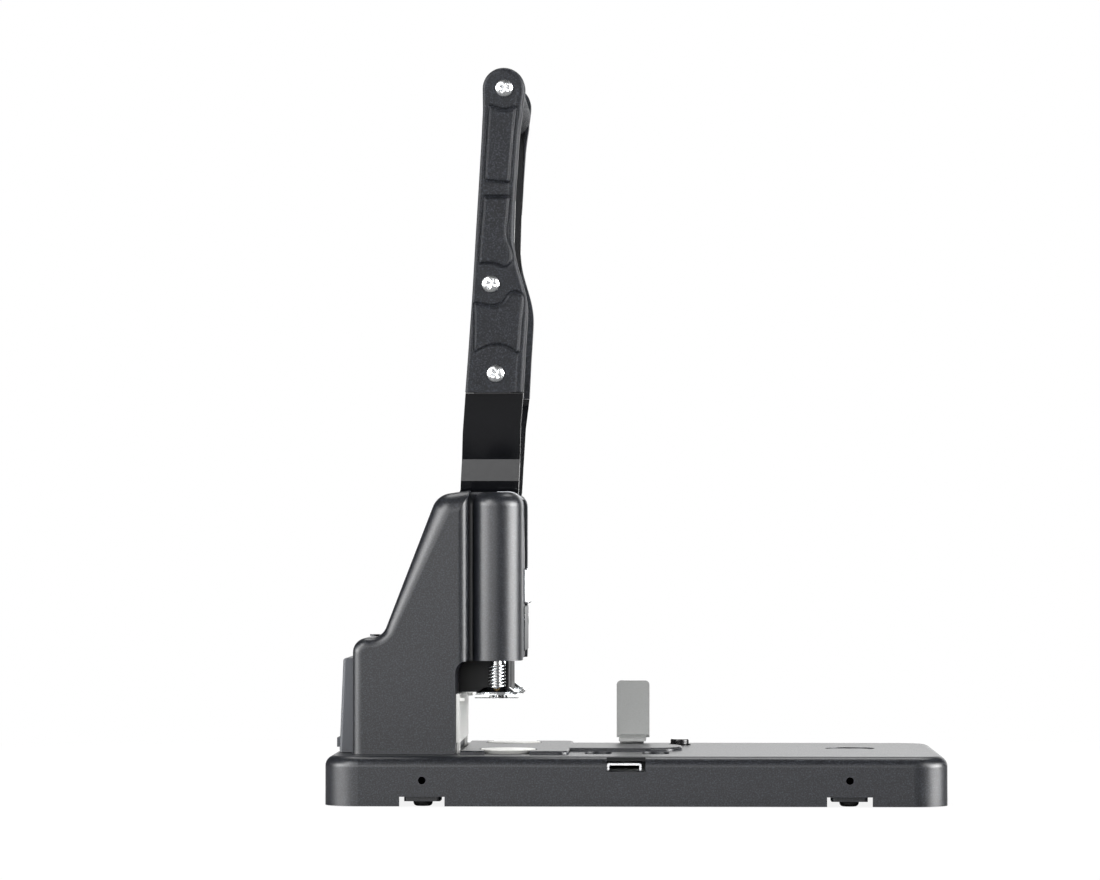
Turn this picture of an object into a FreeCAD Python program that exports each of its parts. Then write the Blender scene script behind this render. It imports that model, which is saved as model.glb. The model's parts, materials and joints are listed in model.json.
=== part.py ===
"""Heavy duty two-hole punch, modelled in millimetres.

X runs to the front, where the paper comes in, Y across the machine and Z up. The origin is the
middle of the footprint, on the surface that the feet stand on.
"""

import FreeCAD, Part
import math
import operator
import os

import Sketcher

V = FreeCAD.Vector

SIZES = {
    # Base casing, a pressed steel tray turned upside down
    "base_length": 302.4,
    "base_width": 164.0,
    "base_top": 24.3,
    "base_skin": 2.0,
    "skirt_bottom": 0.3,
    "base_corner": 17.0,
    "base_rounding": 5.0,
    "boss_radius": 4.0,
    "thread_radius": 1.5,
    # Raised field on the base top
    "field_height": 1.8,
    "field_back": -86.0,
    "field_front": -33.0,
    "field_half_width": 60.0,
    "field_corner": 5.0,
    "neck_front": 6.0,
    "neck_half_width": 24.0,
    "nose_shoulder": 17.0,
    "nose_shoulder_half": 20.0,
    "nose_front": 22.5,
    "nose_half_width": 9.0,
    "nose_corner": 7.0,
    "dimple_radius": 6.6,
    "dimple_half_length": 14.5,
    "dimple_depth": 1.5,
    "dimple_back": -18.7,
    "dimple_front": 9.5,
    "dimple_side": 40.5,
    "badge_x": 107.0,
    "badge_y": 15.0,
    "badge_radius": 12.5,
    "badge_depth": 0.5,
    # Underside
    "plate_bottom": 5.6,
    "plate_thickness": 1.5,
    "plate_gap": 0.3,
    "foot_x": 103.3,
    "foot_y": 70.0,
    "foot_height": 2.6,
    "foot_top_radius": 4.9,
    "foot_tip_radius": 4.3,
    "foot_rounding": 1.8,
    "pad_half_length": 8.75,
    "pad_half_width": 9.0,
    "notch_length": 22.0,
    "notch_top": 4.9,
    "side_hole_radius": 1.85,
    "side_hole_height": 12.8,
    "plate_screw_x": 130.0,
    "plate_screw_middle": 40.0,
    "plate_screw_y": 60.0,
    "plate_screw_head": 3.0,
    "plate_screw_head_height": 1.3,
    # Punches, their spacing and the cutting discs
    "punch_x": -68.7,
    "punch_side": 40.0,
    "punch_radius": 2.75,
    "punch_bore": 2.0,
    "punch_collar_radius": 4.5,
    "punch_collar_height": 2.5,
    "tip_clearance": 0.3,
    "disc_x": -63.0,
    "disc_radius": 13.85,
    "disc_height": 2.1,
    "disc_undercut": 1.5,
    "disc_play": 0.55,
    "disc_notch": 11.0,
    "spigot_radius": 4.0,
    "spigot_length": 4.0,
    "running_play": 0.06,
    # Anvil under the base top
    "anvil_back": -112.0,
    "anvil_front": -42.0,
    "anvil_half_width": 56.0,
    "anvil_thickness": 6.0,
    # Lever pivot, crank and stroke
    "pivot_x": -90.0,
    "pivot_z": 118.0,
    "shaft_radius": 6.0,
    "crank_radius": 23.0,
    "crank_angle": 35.0,
    "crank_pin_radius": 4.5,
    "yoke_play": 0.5,
    # Side frames that carry the pivot
    "frame_inner": 31.0,
    "frame_thickness": 5.0,
    "frame_back": -106.5,
    "frame_leg_front": -91.5,
    "frame_front": -80.2,
    "frame_top": 132.0,
    "frame_flange": 14.0,
    "bolt_radius": 3.0,
    "bolt_head": 5.0,
    "bolt_head_height": 4.0,
    # Head casing
    "head_back": -139.0,
    "head_half_width": 54.0,
    "head_wall": 2.2,
    "head_top": 153.4,
    "side_round_low": 4.5,
    "side_round_high": 9.5,
    "room_rounding": 4.5,
    "crease_rounding": 5.0,
    "ledge_height": 81.0,
    "ledge_corner": 7.2,
    "slope_foot_x": -124.6,
    "slope_corner": 8.0,
    "slope_shift": 0.68,
    "brow_x": -97.8,
    "brow_drop": 2.3,
    "brow_corner": 10.5,
    "throat_back": -88.5,
    "throat_corner": 6.0,
    "head_bottom": 69.8,
    "crease_x": -82.0,
    "crease_depth": 9.5,
    "bulge_x": -68.5,
    "bulge_side": 41.5,
    "bulge_radius": 12.4,
    "bulge_top": 152.6,
    "bulge_rounding": 6.8,
    "slot_inner": 22.3,
    "slot_outer": 30.2,
    "slot_bottom": 96.5,
    "slot_back": -90.5,
    "front_top": 149.5,
    "front_plate_thickness": 1.8,
    "front_plate_proud": -0.9,
    "front_plate_bottom": 70.6,
    "latch_guide_bottom": 74.2,
    "latch_guide_top": 96.0,
    "latch_guide_thickness": 1.7,
    "front_screw_seat": 0.5,
    "front_screw_room": 0.3,
    "floor_thickness": 4.0,
    "ledge_screw_x": -131.5,
    "ledge_screw_radius": 2.4,
    # Latch on the front
    "latch_half_width": 21.5,
    "latch_bottom": 97.4,
    "latch_top": 114.9,
    "latch_proud": 3.4,
    "latch_stem": 4.0,
    "latch_travel": 8.0,
    "latch_keeper": 1.0,
    "latch_keeper_half": 8.0,
    "front_screw_height": 89.4,
    "front_screw_side": 25.6,
    "front_screw_radius": 3.1,
    "front_screw_head": 1.3,
    # Crosshead
    "crosshead_back": -79.5,
    "crosshead_end_back": -77.2,
    "crosshead_front": -60.2,
    "crosshead_bottom": 104.0,
    "crosshead_bar": 8.0,
    "crosshead_half_width": 46.5,
    "yoke_half_width": 21.5,
    "yoke_wall": 6.5,
    "nut_radius": 5.2,
    "nut_height": 4.0,
    # Presser plate and its guides
    "presser_bottom": 51.5,
    "presser_thickness": 1.7,
    "presser_back": -79.0,
    "presser_front": -57.9,
    "presser_half_width": 52.0,
    "lip_reach": 3.8,
    "presser_hole": 3.6,
    "presser_pin_radius": 2.5,
    "presser_pin_x": -70.0,
    "presser_pin_side": 16.0,
    "presser_pin_top": 98.0,
    "post_half_width": 24.0,
    "post_back": -88.1,
    "post_front": -62.1,
    "post_bottom": 53.7,
    "cup_radius": 10.1,
    "cup_hole": 5.0,
    "cup_rim": 6.6,
    "cup_height": 3.4,
    "cup_base": 1.2,
    # Springs
    "spring_wire": 1.1,
    "spring_coil_radius": 3.75,
    "spring_seat_gap": 0.15,
    "torsion_wire": 2.0,
    "torsion_coil_radius": 7.5,
    "torsion_half_length": 18.0,
    "button_wire": 0.7,
    "button_coil_radius": 2.9,
    # Paper stop
    "stop_thickness": 1.5,
    "stop_gap": 0.3,
    "stop_half_width": 50.0,
    "stop_bottom": 29.5,
    "stop_top": 53.4,
    "stop_hook": 2.4,
    "stop_hook_side": 38.0,
    # Chip bin
    "bin_face_back": -146.2,
    "bin_face_lean": 1.9,
    "bin_face_half_width": 42.0,
    "bin_face_drop": 10.1,
    "bin_front": -109.0,
    "bin_half_width": 39.5,
    "bin_wall": 1.6,
    "bin_bottom": 30.0,
    "bin_top_drop": 15.0,
    "bin_play": 0.4,
    "bin_lip_height": 29.0,
    "bin_lip_half_height": 2.3,
    "bin_lip_half_width": 30.0,
    "bin_lip_reach": 2.0,
    # Lever arms and handle
    "arm_thickness": 4.0,
    "arm_lower_inner": 23.0,
    "arm_upper_inner": 44.0,
    "arm_back": -110.0,
    "arm_front": -40.0,
    "bend_bottom": 151.0,
    "bend_top": 158.3,
    "bend_step": 2.9,
    "jog_bottom": 165.0,
    "jog_top": 198.0,
    "arm_end": 353.0,
    "arm_steel_rise": 2.0,
    "arm_half_width": 7.0,
    "cover_outer": 52.0,
    "cover_rounding": 1.2,
    "cover_depth": 11.0,
    "cover_rise": 3.5,
    "cover_play": 0.3,
    "handle_x": -64.8,
    "handle_drop": 7.5,
    "handle_radius": 6.0,
    "grip_radius": 10.2,
    "grip_half_length": 40.6,
    "tie_radius": 5.0,
    "cover_screw_radius": 4.25,
    "cover_screw_height": 2.0,
    "recess_width": 1.0,
    "recess_length": 4.6,
    "recess_depth": 1.2,
    # Paper guide
    "rail_left": -13.7,
    "rail_right": 2.8,
    "rail_bottom": 17.9,
    "rail_top": 21.2,
    "rail_sheet": 1.0,
    "rail_near": -81.4,
    "rail_far": 80.9,
    "tab_left": -11.2,
    "tab_right": 5.8,
    "tab_top": 56.4,
    "tab_corner": 2.2,
    "tab_sheet": 1.5,
    "strip_left": -9.5,
    "strip_bottom": 27.0,
    "strip_near": 30.0,
    "window_left": -13.8,
    "window_right": 4.8,
    "window_bottom": 17.1,
    "window_top": 22.6,
    "rail_play": 0.2,
    "block_side": 54.0,
    "block_length": 12.0,
    "block_wall": 2.4,
    # Guide button
    "button_x": 21.4,
    "button_y": 52.0,
    "button_radius": 4.65,
    "button_height": 3.1,
    "button_play": 0.3,
    "button_skirt": 2.8,
    "button_stem": 1.8,
    "bezel_radius": 6.0,
    "bezel_height": 0.6,
    "bracket_drop": 10.5,
    "bracket_half_length": 9.0,
    "bracket_sheet": 1.5,
}

doc = FreeCAD.newDocument("hole_punch")
sheet = doc.addObject("Spreadsheet::Sheet", "sizes")
OPERATIONS = {
    "+": operator.add,
    "-": operator.sub,
    "*": operator.mul,
    "/": operator.truediv,
}


class Size:
    """A length that knows its value and the formula that gives it on the sheet."""

    def __init__(self, value, formula):
        self.value = value
        self.formula = formula

    def __add__(self, other):
        return combined(self, "+", other)

    def __radd__(self, other):
        return combined(other, "+", self)

    def __sub__(self, other):
        return combined(self, "-", other)

    def __rsub__(self, other):
        return combined(other, "-", self)

    def __mul__(self, other):
        return combined(self, "*", other)

    def __rmul__(self, other):
        return combined(other, "*", self)

    def __truediv__(self, other):
        return combined(self, "/", other)

    def __neg__(self):
        return combined(0, "-", self)


def sized(number):
    """A plain number as a Size."""
    if isinstance(number, Size):
        return number
    return Size(float(number), f"{float(number):.6f}")


def combined(left, sign, right):
    """Two sizes joined by a sign, in value and in formula."""
    left = sized(left)
    right = sized(right)
    value = OPERATIONS[sign](left.value, right.value)
    return Size(value, f"({left.formula} {sign} {right.formula})")


def sine(angle):
    """Sine of an angle in degrees."""
    return Size(math.sin(math.radians(angle.value)), f"sin({angle.formula} * 1 deg)")


def cosine(angle):
    """Cosine of an angle in degrees."""
    return Size(math.cos(math.radians(angle.value)), f"cos({angle.formula} * 1 deg)")


class Sizes:
    """Every driving dimension by its name on the sheet."""


d = Sizes()
for row, (alias, number) in enumerate(SIZES.items(), start=1):
    sheet.set(f"A{row}", alias)
    sheet.set(f"B{row}", str(number))
    sheet.setAlias(f"B{row}", alias)
    setattr(d, alias, Size(number, f"sizes.{alias}"))
doc.recompute()

finished = {}


def bind(thing, prop, size):
    """Tie one property of an object to the sheet."""
    thing.setExpression(prop, sized(size).formula)


def place(thing, x, y, z):
    """Tie an object's place to the sheet."""
    bind(thing, "Placement.Base.x", x)
    bind(thing, "Placement.Base.y", y)
    bind(thing, "Placement.Base.z", z)


def box(name, xs, ys, zs):
    """A block between a low and a high value on each axis."""
    thing = doc.addObject("Part::Box", name)
    for side, (low, high) in zip(("Length", "Width", "Height"), (xs, ys, zs)):
        bind(thing, side, sized(high) - low)
    place(thing, xs[0], ys[0], zs[0])
    return thing


def rod(name, axis, centre, radius, ends):
    """A cylinder along x, y or z through centre, its two other coordinates, between two ends."""
    thing = doc.addObject("Part::Cylinder", name)
    bind(thing, "Radius", radius)
    bind(thing, "Height", sized(ends[1]) - ends[0])
    if axis == "x":
        thing.Placement = FreeCAD.Placement(V(), FreeCAD.Rotation(V(0, 1, 0), 90))
        place(thing, ends[0], centre[0], centre[1])
    elif axis == "y":
        thing.Placement = FreeCAD.Placement(V(), FreeCAD.Rotation(V(1, 0, 0), -90))
        place(thing, centre[0], ends[0], centre[1])
    else:
        place(thing, centre[0], centre[1], ends[0])
    return thing


def cone(name, centre, low_radius, high_radius, ends):
    """An upright cone between two heights."""
    thing = doc.addObject("Part::Cone", name)
    bind(thing, "Radius1", low_radius)
    bind(thing, "Radius2", high_radius)
    bind(thing, "Height", sized(ends[1]) - ends[0])
    place(thing, centre[0], centre[1], ends[0])
    return thing


def fuse(name, *things):
    """Several solids grown into one."""
    thing = doc.addObject("Part::MultiFuse", name)
    thing.Shapes = list(things)
    thing.Refine = True
    return thing


def group(name, *things):
    """Separate solids that share one node."""
    thing = doc.addObject("Part::Compound", name)
    thing.Links = list(things)
    return thing


def cut(name, base, *tools):
    """A solid with others taken away from it."""
    thing = doc.addObject("Part::Cut", name)
    thing.Base = base
    thing.Tool = tools[0] if len(tools) == 1 else fuse(name + "_tools", *tools)
    return thing


def common(name, first, second):
    """What two solids share."""
    thing = doc.addObject("Part::Common", name)
    thing.Base = first
    thing.Tool = second
    return thing


def mirrored_span(side, low, high):
    """A span beyond the middle plane on the near side (-1) or the far side (1)."""
    return (low, high) if side > 0 else (-sized(high), -sized(low))


def pad(name, plane, points, ends):
    """A body padded from a closed sketch between two places along the plane's axis."""
    body = doc.addObject("PartDesign::Body", name)
    sketch = body.newObject("Sketcher::SketchObject", name + "_sketch")
    origin = {f.Role: f for f in body.Origin.OriginFeatures}
    sketch.AttachmentSupport = (origin[plane], [""])
    sketch.MapMode = "FlatFace"
    corners = [(sized(a), sized(b)) for a, b in points]
    count = len(corners)
    for i, (a, b) in enumerate(corners):
        after = corners[(i + 1) % count]
        line = Part.LineSegment(V(a.value, b.value, 0), V(after[0].value, after[1].value, 0))
        sketch.addGeometry(line, False)
    for i in range(count):
        sketch.addConstraint(Sketcher.Constraint("Coincident", i, 2, (i + 1) % count, 1))
    for i, (a, b) in enumerate(corners):
        for kind, size in (("DistanceX", a), ("DistanceY", b)):
            index = sketch.addConstraint(Sketcher.Constraint(kind, -1, 1, i, 1, size.value))
            sketch.setExpression(f"Constraints[{index}]", size.formula)
    # The XZ plane faces -Y, so its pad starts at the high end and runs back.
    start = -sized(ends[1]) if plane == "XZ_Plane" else sized(ends[0])
    sketch.setExpression("AttachmentOffset.Base.z", start.formula)
    feature = body.newObject("PartDesign::Pad", name + "_pad")
    feature.Profile = sketch
    bind(feature, "Length", sized(ends[1]) - ends[0])
    body.Tip = feature
    return body


def round_body(body, radius, wanted):
    """Fillet the edges of a body that the test picks."""
    doc.recompute()
    edges = [f"Edge{i}" for i, e in enumerate(body.Shape.Edges, start=1) if wanted(e)]
    solid = body.Tip
    feature = body.newObject("PartDesign::Fillet", body.Name + "_fillet")
    feature.Base = (solid, edges)
    body.Tip = feature
    bind(feature, "Radius", radius)
    return body


def rounded(name, thing, radius, wanted):
    """A solid with the edges that the test picks rounded."""
    doc.recompute()
    fillet = doc.addObject("Part::Fillet", name)
    fillet.Base = thing
    value = sized(radius).value
    fillet.Edges = [(i, value, value) for i, e in enumerate(thing.Shape.Edges, start=1) if wanted(e)]
    return fillet


def upright(edge):
    """True for a straight edge along Z."""
    bounds = edge.BoundBox
    return bounds.XLength < 1e-6 and bounds.YLength < 1e-6 and bounds.ZLength > 1e-6


def at_height(z):
    """A test for flat edges at one height."""
    return lambda e: abs(e.BoundBox.ZMin - z.value) < 1e-4 and e.BoundBox.ZLength < 1e-4


def finish(label, thing):
    """Name a finished sub-part."""
    thing.Label = label
    finished[label] = thing
    return thing


def pan_screw(name, x, z, side, seat, shank_radius, depth):
    """A pan head screw along Y whose head stands outside seat, with a cross recess."""
    head_end = seat + d.cover_screw_height
    head = rod(name + "_head", "y", (x, z), d.cover_screw_radius, mirrored_span(side, seat, head_end))
    shank = rod(name + "_shank", "y", (x, z), shank_radius, mirrored_span(side, seat - depth, seat))
    deep = mirrored_span(side, head_end - d.recess_depth, head_end + 1)
    half_long = d.recess_length / 2
    half_wide = d.recess_width / 2
    bar = box(name + "_bar", (x - half_long, x + half_long), deep, (z - half_wide, z + half_wide))
    stem = box(name + "_stem", (x - half_wide, x + half_wide), deep, (z - half_long, z + half_long))
    return cut(name, fuse(name + "_body", head, shank), bar, stem)


def biarc(start, start_way, end, end_way):
    """Two arcs that leave start along start_way, meet smoothly and reach end along end_way."""
    across = end - start
    ways = start_way + end_way
    turn = 2 * (1 - start_way.dot(end_way))
    along = across.dot(ways)
    reach = (-along + math.sqrt(along * along + turn * across.dot(across))) / turn
    middle = (start + end + (start_way - end_way) * reach) * 0.5
    return [
        arc_between(start, start + start_way * reach, middle),
        arc_between(middle, end - end_way * reach, end),
    ]


def arc_between(start, corner, end):
    """The arc that touches start-corner and corner-end at its two ends."""
    chord_middle = (start + end) * 0.5
    half_chord = (end - start).Length / 2
    rise = (corner - chord_middle).Length
    radius = (corner - start).Length * half_chord / rise
    bulge = radius - math.sqrt(radius * radius - half_chord * half_chord)
    top = chord_middle + (corner - chord_middle) * (bulge / rise)
    return Part.Arc(start, top, end).toShape()


def coil(name, radius, wire, length, quarters, start):
    """One unbroken spring along Z from z=0: a helix of quarter turn biarcs with upright ends."""
    bend = wire * 1.2
    low = wire + bend
    rise = (length - 2 * low) / quarters
    steps = [start + k * math.pi / 2 for k in range(quarters + 1)]
    lift = rise / (math.pi / 2)
    points = [
        V(radius * math.cos(a), radius * math.sin(a), low + k * rise) for k, a in enumerate(steps)
    ]
    ways = [V(-radius * math.sin(a), radius * math.cos(a), lift).normalize() for a in steps]
    flat = [V(w.x, w.y, 0).normalize() for w in ways]
    up = V(0, 0, 1)
    foot_top = points[0] - flat[0] * bend - up * bend
    head_foot = points[-1] + flat[-1] * bend + up * bend
    edges = [Part.LineSegment(V(foot_top.x, foot_top.y, 0), foot_top).toShape()]
    edges += biarc(foot_top, up, points[0], ways[0])
    for k in range(quarters):
        edges += biarc(points[k], ways[k], points[k + 1], ways[k + 1])
    edges += biarc(points[-1], ways[-1], head_foot, up)
    edges.append(Part.LineSegment(head_foot, V(head_foot.x, head_foot.y, length)).toShape())
    path = Part.Wire(edges)
    ring = Part.Circle(V(foot_top.x, foot_top.y, 0), up, wire / 2).toShape()
    solid = path.makePipeShell([Part.Wire([ring])], True, False)
    print(f"{name}: least gap to itself {least_gap(path, radius, wire):.2f} mm")
    return solid


def least_gap(path, radius, wire):
    """Least distance between two turns of a coil, less the wire, on points along its path."""
    points = path.discretize(Distance=wire / 2)
    skip = int(math.pi * radius / (wire / 2))
    nearest = min(
        (points[i] - points[k]).Length
        for i in range(len(points))
        for k in range(i + skip, len(points))
    )
    return nearest - wire


def coil_part(name, shape, placement):
    """A spring as an object of the document."""
    thing = doc.addObject("Part::Feature", name)
    thing.Shape = shape
    thing.Placement = placement
    return thing


# Values that several sub-parts share
half_length = d.base_length / 2
half_width = d.base_width / 2
skin_bottom = d.base_top - d.base_skin
head_neck_half = d.head_half_width - d.crease_depth
field_top = d.base_top + d.field_height
plate_top = d.plate_bottom + d.plate_thickness
bin_top = d.ledge_height - d.bin_top_drop
bin_face_top = d.ledge_height - d.bin_face_drop
handle_z = d.arm_end - d.handle_drop
cover_bottom = d.jog_top + d.cover_rise
disc_top = d.base_top + d.disc_height
crank_reach = d.crank_radius * cosine(d.crank_angle)
crank_rise = d.crank_radius * sine(d.crank_angle)
crank_x = d.pivot_x + crank_reach
crank_z = d.pivot_z + crank_rise
punch_stroke = 2 * crank_rise
punch_tip = disc_top + d.tip_clearance + punch_stroke
crosshead_top = d.crosshead_bottom + d.crosshead_bar
presser_top = d.presser_bottom + d.presser_thickness
front_face = d.bulge_x + d.bulge_radius
front_plate_front = front_face + d.front_plate_proud
front_plate_back = front_plate_front - d.front_plate_thickness
window_left = d.window_left
window_right = d.window_right
NEAR_AND_FAR = (("near", -1), ("far", 1))
FRONT_AND_BACK = (("back", -1), ("front", 1))


def base_shell():
    """The black tray with its raised field, windows, notches, holes and screw bosses."""
    heights = (d.skirt_bottom, d.base_top)
    outer = box("tray", (-half_length, half_length), (-half_width, half_width), heights)
    outer = rounded("tray_corners", outer, d.base_corner, upright)
    outer = rounded("tray_edge", outer, d.base_rounding, at_height(d.base_top))
    skin = d.base_skin
    inner = box(
        "tray_inside",
        (skin - half_length, half_length - skin),
        (skin - half_width, half_width - skin),
        (d.skirt_bottom - 1, skin_bottom),
    )
    inner = rounded("tray_inside_corners", inner, d.base_corner - skin, upright)
    inner = rounded("tray_inside_edge", inner, d.base_rounding - skin, at_height(skin_bottom))
    tray = cut("tray_shell", outer, inner)

    half_neck = d.neck_half_width
    outline = [
        (d.field_back, -d.field_half_width),
        (d.field_front, -d.field_half_width),
        (d.field_front, -half_neck),
        (d.neck_front, -half_neck),
        (d.nose_shoulder, -d.nose_shoulder_half),
        (d.nose_front, -d.nose_half_width),
        (d.nose_front, d.nose_half_width),
        (d.nose_shoulder, d.nose_shoulder_half),
        (d.neck_front, half_neck),
        (d.field_front, half_neck),
        (d.field_front, d.field_half_width),
        (d.field_back, d.field_half_width),
    ]
    field = pad("raised_field", "XY_Plane", outline, (skin_bottom, field_top))
    front_corners = lambda e: upright(e) and e.BoundBox.XMin > d.field_front.value - 1e-3
    outer_corners = lambda e: front_corners(e) and abs(e.BoundBox.YMin) > half_neck.value + 1
    nose_corners = lambda e: upright(e) and e.BoundBox.XMin > d.neck_front.value - 1e-3
    field = round_body(field, d.field_corner, outer_corners)
    field = round_body(field, d.nose_corner, nose_corners)
    field = round_body(field, d.field_height * 0.6, at_height(field_top))

    bosses = []
    for x in (-d.plate_screw_x, d.plate_screw_middle, d.plate_screw_x):
        for y in (-d.plate_screw_y, d.plate_screw_y):
            bosses.append(rod("boss", "z", (x, y), d.boss_radius, (plate_top, skin_bottom)))
    solid = fuse("tray_with_field", tray, field, *bosses)

    tools = []
    for x in (-d.plate_screw_x, d.plate_screw_middle, d.plate_screw_x):
        for y in (-d.plate_screw_y, d.plate_screw_y):
            deep = skin_bottom - 2
            tools.append(rod("boss_hole", "z", (x, y), d.thread_radius, (d.plate_bottom, deep)))
    for x in (-d.foot_x, d.foot_x):
        half_notch = d.notch_length / 2
        span = (x - half_notch, x + half_notch)
        tools.append(box("skirt_notch", span, (-half_width - 1, half_width + 1), (-1, d.notch_top)))
        centre = (x, d.side_hole_height)
        for name, side in NEAR_AND_FAR:
            ends = mirrored_span(side, half_width - 2 * skin, half_width + 1)
            tools.append(rod("side_hole_" + name, "y", centre, d.side_hole_radius, ends))
    for name, side in NEAR_AND_FAR:
        ends = mirrored_span(side, half_width - 2 * skin, half_width + 1)
        heights = (d.window_bottom, d.window_top)
        tools.append(box("rail_window_" + name, (window_left, window_right), ends, heights))
        ends = mirrored_span(side, half_width - 3.4, half_width + 1)
        heights = (skin_bottom - 1, d.base_top + 1)
        tools.append(box("edge_notch_" + name, (window_left, window_right), ends, heights))
        centre = (d.disc_x, side * d.punch_side)
        pocket = (d.base_top, field_top + 1)
        tools.append(rod("disc_pocket_" + name, "z", centre, d.disc_radius + d.disc_play, pocket))
        spigot_hole = d.spigot_radius + d.running_play
        tools.append(rod("disc_hole_" + name, "z", centre, spigot_hole, (skin_bottom - 1, field_top)))
        sides = (d.disc_x - d.disc_notch, d.disc_x + d.disc_notch)
        ends = mirrored_span(side, d.punch_side, d.field_half_width + 1)
        tools.append(box("disc_notch_" + name, sides, ends, pocket))
        for x in (d.dimple_back, d.dimple_front):
            low = d.base_top - d.dimple_depth
            heights = (low, field_top + 1)
            reach = d.dimple_half_length - d.dimple_radius
            ends = mirrored_span(side, d.dimple_side - reach, d.dimple_side + reach)
            sides = (x - d.dimple_radius, x + d.dimple_radius)
            tools.append(box("dimple_" + name, sides, ends, heights))
            for y in ends:
                tools.append(rod("dimple_end_" + name, "z", (x, y), d.dimple_radius, heights))
        bolt = ((d.frame_back + d.frame_leg_front) / 2, side * (d.frame_inner - d.frame_flange / 2))
        tools.append(rod("bolt_hole_" + name, "z", bolt, d.bolt_radius, (skin_bottom - 1, field_top)))
    low = d.base_top - d.badge_depth
    tools.append(rod("badge_recess", "z", (d.badge_x, d.badge_y), d.badge_radius, (low, field_top)))
    hole = d.button_radius + d.button_play
    tools.append(rod("button_hole", "z", (d.button_x, d.button_y), hole, (skin_bottom - 1, field_top)))
    finish("base_shell", cut("base_shell", solid, *tools))


def underside():
    """Closing plate with a raised pad over each foot, its screws and the four feet."""
    inset = d.base_skin + d.plate_gap
    xs = (inset - half_length, half_length - inset)
    ys = (inset - half_width, half_width - inset)
    plate = box("bottom_sheet", xs, ys, (d.plate_bottom, plate_top))
    plate = rounded("bottom_corners", plate, d.base_corner - inset, upright)
    holes = []
    screws = []
    for x in (-d.plate_screw_x, d.plate_screw_middle, d.plate_screw_x):
        for y in (-d.plate_screw_y, d.plate_screw_y):
            centre = (x, y)
            holes.append(rod("plate_hole", "z", centre, d.thread_radius, (0, plate_top + 1)))
            head_ends = (d.plate_bottom - d.plate_screw_head_height, d.plate_bottom)
            head = rod("plate_screw_head", "z", centre, d.plate_screw_head, head_ends)
            shank_ends = (d.plate_bottom, plate_top + 8)
            shank = rod("plate_screw_shank", "z", centre, d.thread_radius, shank_ends)
            screws.append(fuse("plate_screw", head, shank))
    pads = []
    feet = []
    for x in (-d.foot_x, d.foot_x):
        for y in (-d.foot_y, d.foot_y):
            sides = (x - d.pad_half_length, x + d.pad_half_length)
            ends = (y - d.pad_half_width, y + d.pad_half_width)
            block = box("foot_pad", sides, ends, (d.foot_height, d.plate_bottom))
            pads.append(rounded("foot_pad_corners", block, 1.5, upright))
            foot = cone("foot", (x, y), d.foot_tip_radius, d.foot_top_radius, (0, d.foot_height))
            feet.append(rounded("foot_edge", foot, d.foot_rounding, at_height(sized(0))))
    finish("bottom_plate", cut("bottom_plate", fuse("bottom_body", plate, *pads), *holes))
    finish("plate_screws", group("plate_screws", *screws))
    finish("rubber_feet", group("rubber_feet", *feet))


def anvil():
    """Steel plate under the base top, which takes the load of the discs and carries the frames."""
    low = skin_bottom - d.anvil_thickness
    sides = (-d.anvil_half_width, d.anvil_half_width)
    plate = box("anvil_blank", (d.anvil_back, d.anvil_front), sides, (low, skin_bottom))
    tools = []
    for name, side in NEAR_AND_FAR:
        hole = d.spigot_radius + d.running_play
        centre = (d.disc_x, side * d.punch_side)
        tools.append(rod("anvil_disc_hole_" + name, "z", centre, hole, (low - 1, skin_bottom + 1)))
        bolt = ((d.frame_back + d.frame_leg_front) / 2, side * (d.frame_inner - d.frame_flange / 2))
        tools.append(rod("anvil_bolt_hole_" + name, "z", bolt, d.bolt_radius, (low - 1, skin_bottom + 1)))
    finish("anvil_plate", cut("anvil_plate", plate, *tools))


def discs():
    """The two plastic cutting discs, set off centre so that turning them brings up a fresh spot."""
    for name, side in NEAR_AND_FAR:
        centre = (d.disc_x, side * d.punch_side)
        foot = d.disc_radius - d.disc_undercut
        face = cone(f"disc_{name}_face", centre, foot, d.disc_radius, (d.base_top, disc_top))
        face = rounded(f"disc_{name}_edge", face, 0.4, at_height(disc_top))
        low = d.base_top - d.spigot_length
        spigot = rod(f"disc_{name}_spigot", "z", centre, d.spigot_radius, (low, d.base_top))
        finish(f"cutting_disc_{name}", fuse(f"cutting_disc_{name}", face, spigot))


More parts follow.
